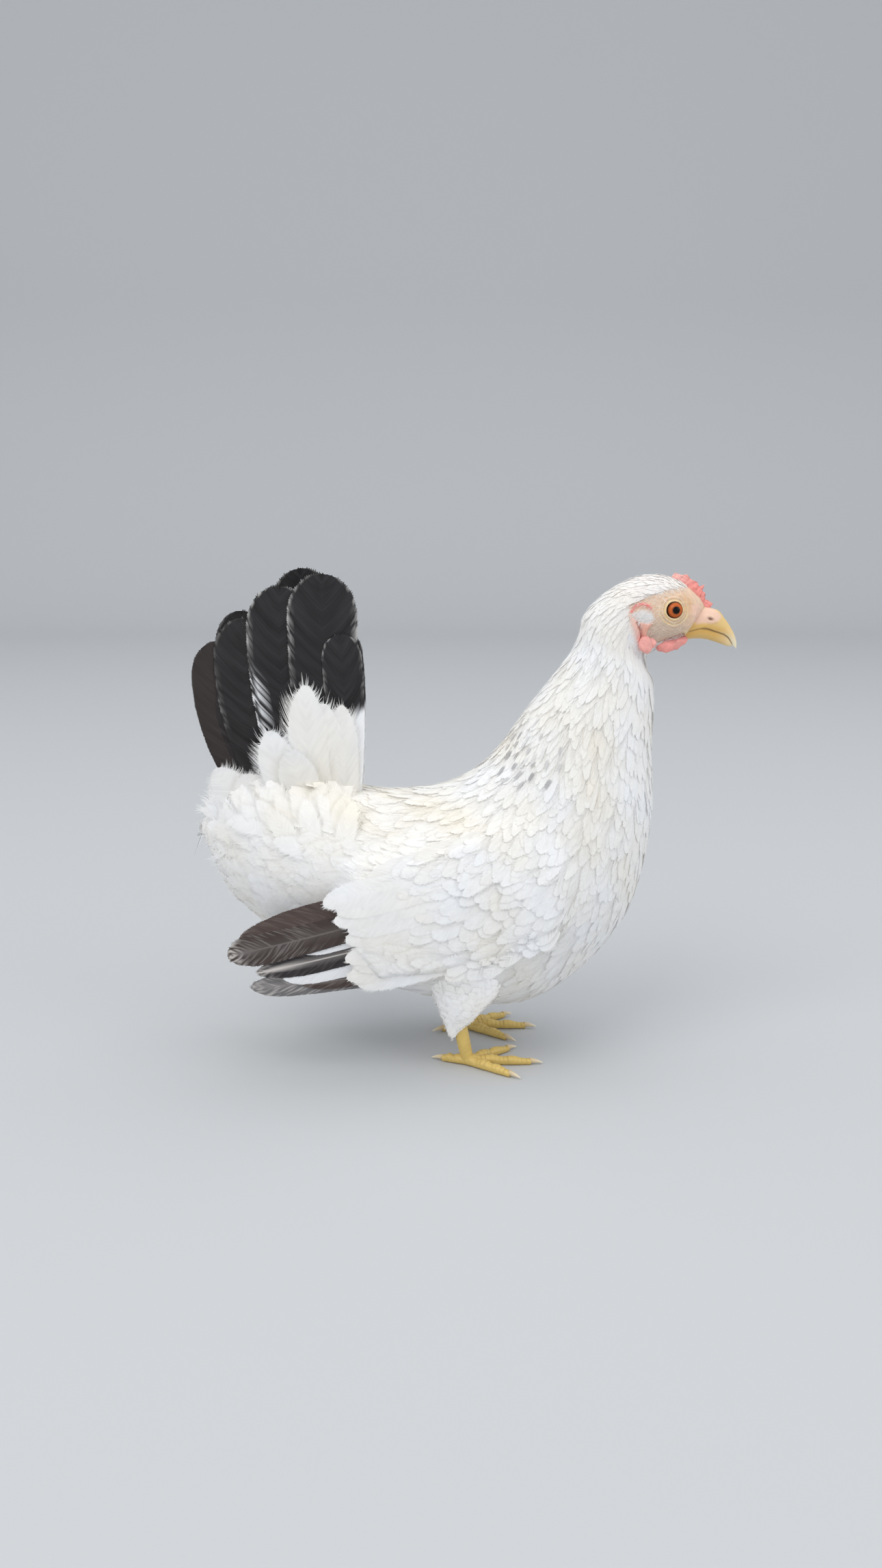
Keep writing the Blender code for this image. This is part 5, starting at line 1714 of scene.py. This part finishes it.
class HEN_OT_wisps(Operator):
    """Scatters fine loose strands over the plumage"""

    bl_idname = "hen.wisps"
    bl_label = "Wisps"

    def execute(self, context):
        look = context.scene.hen_plumage

        def spacing(s, turn, points):
            return np.where(bare_face(points, s) | (over_wing(points) > 0.010), 0.0,
                            on_line(s, WISP_GAPS) * look.spacing)

        def wing_spacing(x, z, points):
            return np.where(depth_inside(x, z, WING_OUTLINE) > 0.001, 0.0020 * look.spacing, 0.0)

        roots = scatter(draped_surface, (0.6, 15.6), FULL_TURN, spacing, 171, tries=5.0)
        self.strands("wisps", draped_surface, 1, roots, on_line(roots[0], WISP_LENGTHS), down_the_body,
                     body_patch, 172)
        for name, side in SIDES.items():
            surface = sheet(side, wing_reach)
            roots = scatter(surface, WING_X, WING_Z, wing_spacing, 175, grid=(80, 60), tries=5.0)
            size = np.full(len(roots[0]), 0.0075)
            self.strands(f"wing_wisps_{name}", surface, side, roots, size, wing_flow,
                         side_patch(side, *WING_PATCH), 176)
        return {"FINISHED"}

    def strands(self, name, surface, out, roots, size, flow, patch_at, seed):
        draw = np.random.default_rng(seed)
        number = len(size)
        lie = make_lie(
            number, flow, length=size * draw.uniform(0.7, 1.35, number),
            half_width=np.clip(size * 0.012, 0.00004, 0.00009) * draw.uniform(0.7, 1.2, number),
            sink=STRAND_SINK, lift=draw.uniform(0.0003, 0.0009, number),
            twist=np.radians(draw.normal(0, 11, number)), bend=np.radians(draw.normal(0, 12, number)))
        lay_piece(name, surface, out, roots, lie, [wisp_shape()], patch_at, seed + 1, steps=3)


class HEN_OT_rump_feathers(Operator):
    """Lays the loose fluff of the rump and the vent"""

    bl_idname = "hen.rump_feathers"
    bl_label = "Rump feathers"

    def execute(self, context):
        shapes = fluffy_shapes(34, 0.32, 0.62, 330)
        body_feathers("rump_feathers", 12.8, 15.0, lambda s, turn, p: np.cos(turn) >= FLANK, shapes, 81,
                      lift=0.0008, twist=9.0, length_share=0.75)
        body_feathers("vent_feathers", 13.2, 15.0, lambda s, turn, p: np.cos(turn) < FLANK, shapes, 84,
                      lift=0.0008, twist=9.0, length_share=0.75)
        body_feathers("tail_foot_fluff", 10.6, 14.6,
                      lambda s, turn, p: (np.cos(turn) > 0.0) & (p[..., 0] < -0.058) & (p[..., 2] > 0.108),
                      soft_shapes(56, 0.32, 0.66, 0.6, 2.0, seed=540), 87, lift=0.0012, flow=up_the_tail,
                      follow=0.40, twist=24.0, length_share=0.85, spacing_share=0.90, camber=0.02)
        for name, side in SIDES.items():
            heap = Heap()
            corner = (0.60, 0.30 if side < 0 else 0.70)

            def patch_at(u, v, corner=corner):
                return np.tile(corner, (len(u), 1))

            for number, tuft in enumerate(RUMP_TUFTS):
                heading = unit(np.array(tuft.tip) - np.array(RUMP_CENTRE))
                root = np.array(tuft.tip) - heading * tuft.length
                shape = vane_shape(64, 0.3, 0.5, 0.6, 0.66, 2.0, 600 + number, fray=0.05, gaps=0.03,
                                   loose=True)
                single_feather(heap, tuft_surface(side, tuft, heading), side, root, tuft.tip, tuft.half_width,
                               0.0, 0.0050, 0.0, shape, plumage_tint, patch_at, 620 + number)
            settle(heap.build(f"rump_tufts_{name}", whites()), "feather_white", "rump")
        return {"FINISHED"}


def wing_flow(points, du):
    """Wing feathers point back and down, more steeply at the front."""
    angle = np.radians(np.interp(points[..., 0], (-0.055, 0.035), (20.0, 44.0)))
    return np.stack([-np.cos(angle), np.zeros_like(angle), -np.sin(angle)], -1)


def covert_tint(points, along, across, chance):
    """The plumage's masks with a dark mottle along the wing's low front edge."""
    tint = plumage_tint(points, along, across, chance)
    x, z = points[..., 0], points[..., 2]
    gap, _ = distance_to(x, z, WING_EDGE)
    mottle = ripple(points.reshape(-1, 3), 0.0022, 91).reshape(x.shape)
    tint[..., 1] = band(gap, 0.0034) * smooth(-0.1, 0.7, mottle) * (0.25 + 0.6 * chance)
    return tint


# The wing's low front edge (x, z), along which its feathers are mottled.
WING_EDGE = ((0.0370, 0.0800), (0.0210, 0.0690), (0.0046, 0.0579))
# The wing's dark feathers from the lowest one up: root and tip (x, z), half width, where it is
# broadest, height over the wing's inner layer, how dark and how brown it is, and its pale marks.
Flight = namedtuple("Flight", "root tip half_width full height dark brown shaft tip_frayed mottle")
FLIGHT_FEATHERS = (
    Flight((-0.0150, 0.0575), (-0.1037, 0.0435), 0.0064, 0.80, 0.0000, 0.85, 0.3, 0.2, 0.6, 0.9),
    Flight((-0.0240, 0.0560), (-0.0800, 0.0475), 0.0046, 0.70, 0.0006, 1.00, 0.8, 0.3, 0.2, 0.2),
    Flight((-0.0260, 0.0665), (-0.0880, 0.0505), 0.0060, 0.75, 0.0010, 0.05, 0.0, 0.0, 0.0, 0.3),
    Flight((-0.0290, 0.0730), (-0.1000, 0.0530), 0.0066, 0.66, 0.0016, 1.00, 0.1, 1.0, 0.5, 0.1),
    Flight((-0.0320, 0.0800), (-0.0830, 0.0670), 0.0066, 0.75, 0.0014, 0.03, 0.0, 0.0, 0.0, 0.2),
    Flight((-0.0300, 0.0950), (-0.1085, 0.0690), 0.0084, 0.62, 0.0018, 1.00, 1.0, 0.0, 0.2, 0.1),
    Flight((-0.0400, 0.0830), (-0.1140, 0.0615), 0.0084, 0.80, 0.0026, 1.00, 0.6, 0.2, 0.9, 0.3),
)
# How deep the wing's inner layer lies at its roots and at its tips.
FLIGHT_DEPTH = 0.0062
FLIGHT_TIP_DEPTH = 0.0046
# The long white feathers over them: root and tip (x, z) and half width.
WHITE_FLIGHTS = (
    ((0.0060, 0.0655), (-0.0530, 0.0500), 0.0068),
    ((0.0040, 0.0695), (-0.0580, 0.0535), 0.0068),
    ((0.0020, 0.0735), (-0.0540, 0.0590), 0.0068),
    ((0.0000, 0.0775), (-0.0585, 0.0630), 0.0068),
    ((-0.0020, 0.0820), (-0.0530, 0.0685), 0.0070),
    ((-0.0040, 0.0860), (-0.0580, 0.0725), 0.0070),
    ((-0.0060, 0.0905), (-0.0570, 0.0775), 0.0070),
    ((-0.0090, 0.0945), (-0.0630, 0.0815), 0.0070),
    ((-0.0110, 0.0990), (-0.0620, 0.0865), 0.0070),
    ((-0.0140, 0.1040), (-0.0680, 0.0900), 0.0070),
)


def dark_vanes(name, roughness, shine, run, lines, broad, fine, dip):
    """A dark feather's material, its barbs and the streaks that they make."""
    paint = Paint(name, {"Roughness": roughness, "Specular IOR Level": shine})
    barbs = paint.effect(barb_group(), Lines=lines, Run=run)
    streaks = paint.math("ADD", paint.times(barbs["Broad"], broad),
                         paint.math("MULTIPLY_ADD", barbs["Fine"], fine, dip), clamp=True)
    return paint, barbs["Fine"], streaks


def flight_material():
    look = bpy.context.scene.hen_plumage
    paint, fine, streaks = dark_vanes("flight_feather", 0.62, 0.2, 0.8, 150.0, 0.9, 0.7, -0.35)
    dark, pale, brown, _ = paint.masks("tint")
    black = paint.mix(streaks, shade_of(look.black, 1.2), shade_of(look.black, 3.0, 0.012))
    rusty = paint.mix(streaks, shade_of(look.brown, 0.65), shade_of(look.brown, 1.35))
    colour = paint.mix(dark, tuple(look.white), paint.mix(brown, black, rusty))
    colour = paint.mix(pale, colour, (0.62, 0.58, 0.55))
    return paint.finish(colour, fine, 0.00012, 0.7)


class HEN_OT_wings(Operator):
    """Lays the coverts and the flight feathers of both folded wings"""

    bl_idname = "hen.wings"
    bl_label = "Wings"

    def execute(self, context):
        flight_look = flight_material()
        for name, side in SIDES.items():
            surface = sheet(side, wing_reach)
            patch_at = side_patch(side, *WING_PATCH)
            self.coverts(name, side, surface, patch_at)
            heap = Heap()
            for number, feather in enumerate(FLIGHT_FEATHERS):
                shape = vane_shape(90, 0.11, 0.96, 0.7, feather.full, 1.8, 400 + number, fray=0.02, gaps=0.03,
                                   columns=(0.08, 0.5, 0.8))

                def tint(points, along, across, chance, feather=feather):
                    x = points[..., 0]
                    fine = ripple(points.reshape(-1, 3), 0.0019, 97).reshape(x.shape)
                    shaft = feather.shaft * (1 - smooth(0.04, 0.09, np.abs(across)))
                    frayed = smooth(0.86, 0.97, along) * smooth(-0.5, 0.4, fine) * feather.tip_frayed
                    marks = 0.7 * smooth(0.25, 0.7, fine) * smooth(0.3, 0.6, along) * feather.mottle
                    pale = np.clip(np.maximum(shaft, np.maximum(frayed, marks)), 0, 1)
                    dark, brown = np.full_like(x, feather.dark), np.full_like(x, feather.brown)
                    return np.stack([dark, pale, brown, chance], -1)

                single_feather(heap, surface, side, feather.root, feather.tip, feather.half_width, 0.0,
                               FLIGHT_DEPTH - feather.height, feather.height - FLIGHT_TIP_DEPTH, shape, tint,
                               patch_at, 95 + number)
            settle(heap.build(f"flight_feathers_{name}", flight_look), "feather_white", f"wing_{name}")
        return {"FINISHED"}

    def coverts(self, name, side, surface, patch_at):
        """The wing's white feathers: the long ones, and the rounded coverts over them."""
        look = bpy.context.scene.hen_plumage

        def size(x, rear, front):
            return np.interp(x, (-0.04, 0.03), (rear, front))

        def spacing(x, z, points):
            room = (depth_inside(x, z, WING_OUTLINE) > -0.002) & (x > on_line(z, COVERT_END))
            return np.where(room, size(x, 0.0062, 0.0044) * look.spacing, 0.0)

        roots = scatter(surface, WING_X, WING_Z, spacing, 91, grid=(80, 60))
        draw = np.random.default_rng(92)
        x, number = roots[0], len(roots[0])
        lie = make_lie(
            number, wing_flow, covert_tint,
            length=size(x, 0.026, 0.014) * look.length * draw.uniform(0.85, 1.15, number),
            half_width=size(x, 0.0064, 0.0044) * draw.uniform(0.9, 1.1, number), sink=0.0016,
            lift=draw.uniform(0.0001, 0.0005, number), camber=0.04,
            tilt=draw.normal(-0.06 * side, 0.04, number),
            twist=np.radians(draw.normal(0, 5, number)), bend=np.radians(draw.normal(0, 4, number)))
        heap = Heap()
        self.pad(heap, side, patch_at)
        for number, (root, tip, half_width) in enumerate(WHITE_FLIGHTS):
            shape = vane_shape(110, 0.11, 0.82, 0.75, 0.76, 1.8, 440 + number, fray=0.035, gaps=0.05,
                               bias=0.7)
            single_feather(heap, surface, side, root, tip, half_width, 0.0, 0.0020 - 0.0002 * number,
                           -0.0008 + 0.0002 * number, shape, covert_tint, patch_at, 460 + number)
        shapes = soft_shapes(44, 0.3, 0.86, 0.6, 2.0, seed=220)
        lay_feathers(heap, surface, side, *roots, lie, shapes, patch_at, 93)
        settle(heap.build(f"wing_coverts_{name}", whites()), "feather_white", f"wing_{name}")

    def pad(self, heap, side, patch_at):
        """The wing's own white underlayer, just under the coverts' roots."""
        rows, columns = 60, 90
        z, x = grid_of(np.linspace(*PAD_Z, rows), np.linspace(*PAD_X, columns))
        inside = np.minimum(depth_inside(x, z, WING_OUTLINE), x - on_line(z, COVERT_END) + 0.036)
        reach = wing_reach(x, z) - PAD_DEPTH - 0.009 * (1 - smooth(-0.001, 0.008, inside))
        points = np.stack([x, side * reach, z], -1).reshape(-1, 3)
        faces = grid_faces(rows, columns, closed=False)
        faces = faces[(inside.ravel()[faces] > -0.001).all(axis=1)]
        flat = np.zeros(len(points))
        tints = plumage_tint(points, flat, flat, flat + 0.5)
        patch = patch_at(points[:, 0], points[:, 2])
        normals = np.tile((0.0, float(side), 0.0), (len(points), 1))
        heap.add(points, faces, tints, np.stack([flat, flat + 0.5, flat], -1), patch, normals)


def tail_material():
    look = bpy.context.scene.hen_plumage
    paint, fine, streaks = dark_vanes("tail_feather", 0.50, 0.22, 0.7, 160.0, 1.2, 0.6, -0.45)
    pale, fringe, brown, _ = paint.masks("tint")
    black = paint.mix(streaks, shade_of(look.black, 0.5), shade_of(look.black, 2.4, 0.008))
    rusty = paint.mix(streaks, shade_of(look.brown, 0.30, 0.004), shade_of(look.brown, 0.50, 0.016))
    colour = paint.mix(brown, black, rusty)
    colour = paint.mix(pale, colour, tuple(look.white))
    colour = paint.mix(fringe, colour, (0.42, 0.41, 0.40))
    return paint.finish(colour, fine, 0.00014, 0.8)


# The line (x, z) under which the tail's feathers are white.
WHITE_FOOT = ((-0.1200, 0.1340), (-0.1000, 0.1380), (-0.0800, 0.1500), (-0.0620, 0.1660), (-0.0500, 0.1730))
# How brown each feather of a fan is, which has a white patch, and which have pale rims.
TAIL_BROWNS = (0.75, 0.25, 0.1, 0.0, 0.0, 0.0)
PATCHED = 3
REAR_RIMMED = (2, 3, 4)
TIP_RIMMED = (3, 4, 5)
# The large soft white coverts at the foot of the tail, as the tail's feathers.
TAIL_COVERTS = (
    TailFeather((-0.1040, 0.1250), (-0.1210, 0.1475), 0.0010, 0.0110, 0.0032, 0.65),
    TailFeather((-0.0940, 0.1230), (-0.1090, 0.1440), 0.0010, 0.0120, 0.0036, 0.65),
    TailFeather((-0.0610, 0.1200), (-0.0625, 0.1760), 0.0000, 0.0100, 0.0040, 0.75),
    TailFeather((-0.0680, 0.1200), (-0.0700, 0.1770), 0.0010, 0.0120, 0.0044, 0.72),
    TailFeather((-0.0720, 0.1180), (-0.0780, 0.1860), 0.0020, 0.0125, 0.0052, 0.74),
    TailFeather((-0.0790, 0.1180), (-0.0950, 0.1655), 0.0020, 0.0125, 0.0058, 0.72),
    TailFeather((-0.0740, 0.1180), (-0.0860, 0.1560), 0.0010, 0.0125, 0.0064, 0.70),
)


def fan_tint(side, number, full):
    """A function for the masks of one feather of the tail: white, fringe, brown and chance."""
    def tint(points, along, across, chance):
        x, z = points[..., 0], points[..., 2]
        foot = 1 - smooth(0.0, 0.004, z - on_line(x, WHITE_FOOT))
        mottle = ripple(points.reshape(-1, 3), 0.004, 95).reshape(x.shape)
        low = smooth(0.4, 0.9, across * -side) * smooth(0.150, 0.165, z) * (1 - smooth(0.188, 0.196, z))
        patch = low * smooth(-0.1, 0.6, mottle) * (number == PATCHED)
        near_edge = smooth(0.86, 0.96, np.abs(across) / np.maximum(vane_width(along, full), 0.05))
        rear_edge = 0.5 * near_edge * (across * side < 0) * smooth(0.160, 0.175, z) * (number in REAR_RIMMED)
        tip_edge = 1.4 * near_edge * (number in TIP_RIMMED) * smooth(0.55, 0.75, along)
        broken = smooth(-0.6, 0.5, mottle) * (0.65 + 0.35 * np.sin(9.0 * along + 2.0 * number))
        fringe = np.clip(np.maximum(rear_edge, tip_edge) * broken, 0, 1)
        brown = np.full_like(x, TAIL_BROWNS[number])
        return np.stack([np.clip(foot + patch, 0, 1), fringe, brown, chance], -1)

    return tint


class HEN_OT_tail(Operator):
    """Lays the two upright fans of tail feathers and the white coverts at their feet"""

    bl_idname = "hen.tail"
    bl_label = "Tail"

    def execute(self, context):
        black = tail_material()
        for name, side in SIDES.items():
            patch_at = side_patch(side, 0.30, (-0.125, 0.12), (-0.045, 0.24))
            heap = Heap()
            for number, feather in enumerate(TAIL_FEATHERS):
                tip = np.array(feather.tip) + (np.array(feather.lean) if side > 0 else 0.0)
                shape = vane_shape(110, 0.15, 0.97, 0.70, feather.full, 2.1, 500 + number, fray=0.010,
                                   gaps=0.015, columns=(0.4, 0.8, 0.93))
                single_feather(heap, sheet(side, tail_reach, feather.lift), side, feather.root, tip,
                               feather.half_width, feather.bend, 0.0004, 0.0002, shape,
                               fan_tint(side, number, feather.full), patch_at, 101 + number)
            piece = heap.build(f"tail_fan_{name}", black, softness=0.0)
            piece.modifiers.new("thickness", "SOLIDIFY").thickness = 0.00025
            settle(piece, "feather_black", f"tail_{name}")
            heap = Heap()
            for number, feather in enumerate(TAIL_COVERTS):
                shape = vane_shape(150, 0.25, 0.70, 0.75, feather.full, 2.2, 520 + number, fray=0.030,
                                   gaps=0.05, loose=True, bias=0.8)
                single_feather(heap, sheet(side, tail_reach, feather.lift), side, feather.root, feather.tip,
                               feather.half_width, feather.bend, 0.0010, 0.0006, shape, plumage_tint,
                               patch_at, 121 + number)
            settle(heap.build(f"tail_covert_vanes_{name}", whites()), "feather_white", f"tail_coverts_{name}")
        return {"FINISHED"}


class HEN_OT_thighs(Operator):
    """Lays the short soft feathers of the thighs"""

    bl_idname = "hen.thighs"
    bl_label = "Thigh feathers"

    def execute(self, context):
        for name, side in SIDES.items():
            surface = thigh_surface(side)
            roots = scatter(surface, (0.2, 2.9), FULL_TURN, lambda u, v, p: np.full(u.shape, 0.0030), 131,
                            grid=(40, 60))
            draw = np.random.default_rng(132)
            number = len(roots[0])
            lie = make_lie(
                number, down_the_body, length=draw.uniform(0.011, 0.014, number),
                half_width=draw.uniform(0.0032, 0.0042, number), sink=0.0007,
                lift=draw.uniform(0.0002, 0.0006, number), camber=0.03, tilt=draw.normal(0, 0.05, number),
                twist=np.radians(draw.normal(0, 8, number)), follow=0.6)
            lay_piece(f"thigh_feathers_{name}", surface, -side, roots, lie, fluffy_shapes(16, 0.3, 0.7, 340),
                      side_patch(side, 0.60, (0.0, 0.0), (3.0, 6.3)), 133, (f"thigh_{name}",))
        return {"FINISHED"}


PIECE_OPERATORS = (
    HEN_OT_stage, HEN_OT_skin, HEN_OT_bill, HEN_OT_eyes, HEN_OT_feet, HEN_OT_bristles,
    HEN_OT_head_feathers, HEN_OT_neck_feathers, HEN_OT_body_feathers, HEN_OT_rump_feathers,
    HEN_OT_wings, HEN_OT_tail, HEN_OT_thighs, HEN_OT_wisps,
)
SETTINGS = (("hen_plumage", HenPlumage), ("hen_skin", HenSkin), ("hen_stage", HenStage))


class HEN_PT_panel(Panel):
    """Lists the hen's settings and the operators that build its pieces"""

    bl_idname = "HEN_PT_panel"
    bl_label = "Bantam hen"
    bl_space_type = "VIEW_3D"
    bl_region_type = "UI"
    bl_category = "Hen"

    def draw(self, context):
        for label, group in SETTINGS:
            box = self.layout.box()
            box.label(text=group.__doc__)
            for field in group.__annotations__:
                box.prop(getattr(context.scene, label), field)
        for operator in PIECE_OPERATORS:
            self.layout.operator(operator.bl_idname)


def register():
    for label, group in SETTINGS:
        bpy.utils.register_class(group)
        setattr(bpy.types.Scene, label, PointerProperty(type=group))
    for operator in PIECE_OPERATORS:
        bpy.utils.register_class(operator)
    bpy.utils.register_class(HEN_PT_panel)


def unregister():
    bpy.utils.unregister_class(HEN_PT_panel)
    for operator in reversed(PIECE_OPERATORS):
        bpy.utils.unregister_class(operator)
    for label, group in reversed(SETTINGS):
        delattr(bpy.types.Scene, label)
        bpy.utils.unregister_class(group)


def main():
    register()
    for operator in PIECE_OPERATORS:
        category, name = operator.bl_idname.split(".")
        getattr(getattr(bpy.ops, category), name)()
    bpy.context.view_layer.update()


if __name__ == "__main__":
    main()
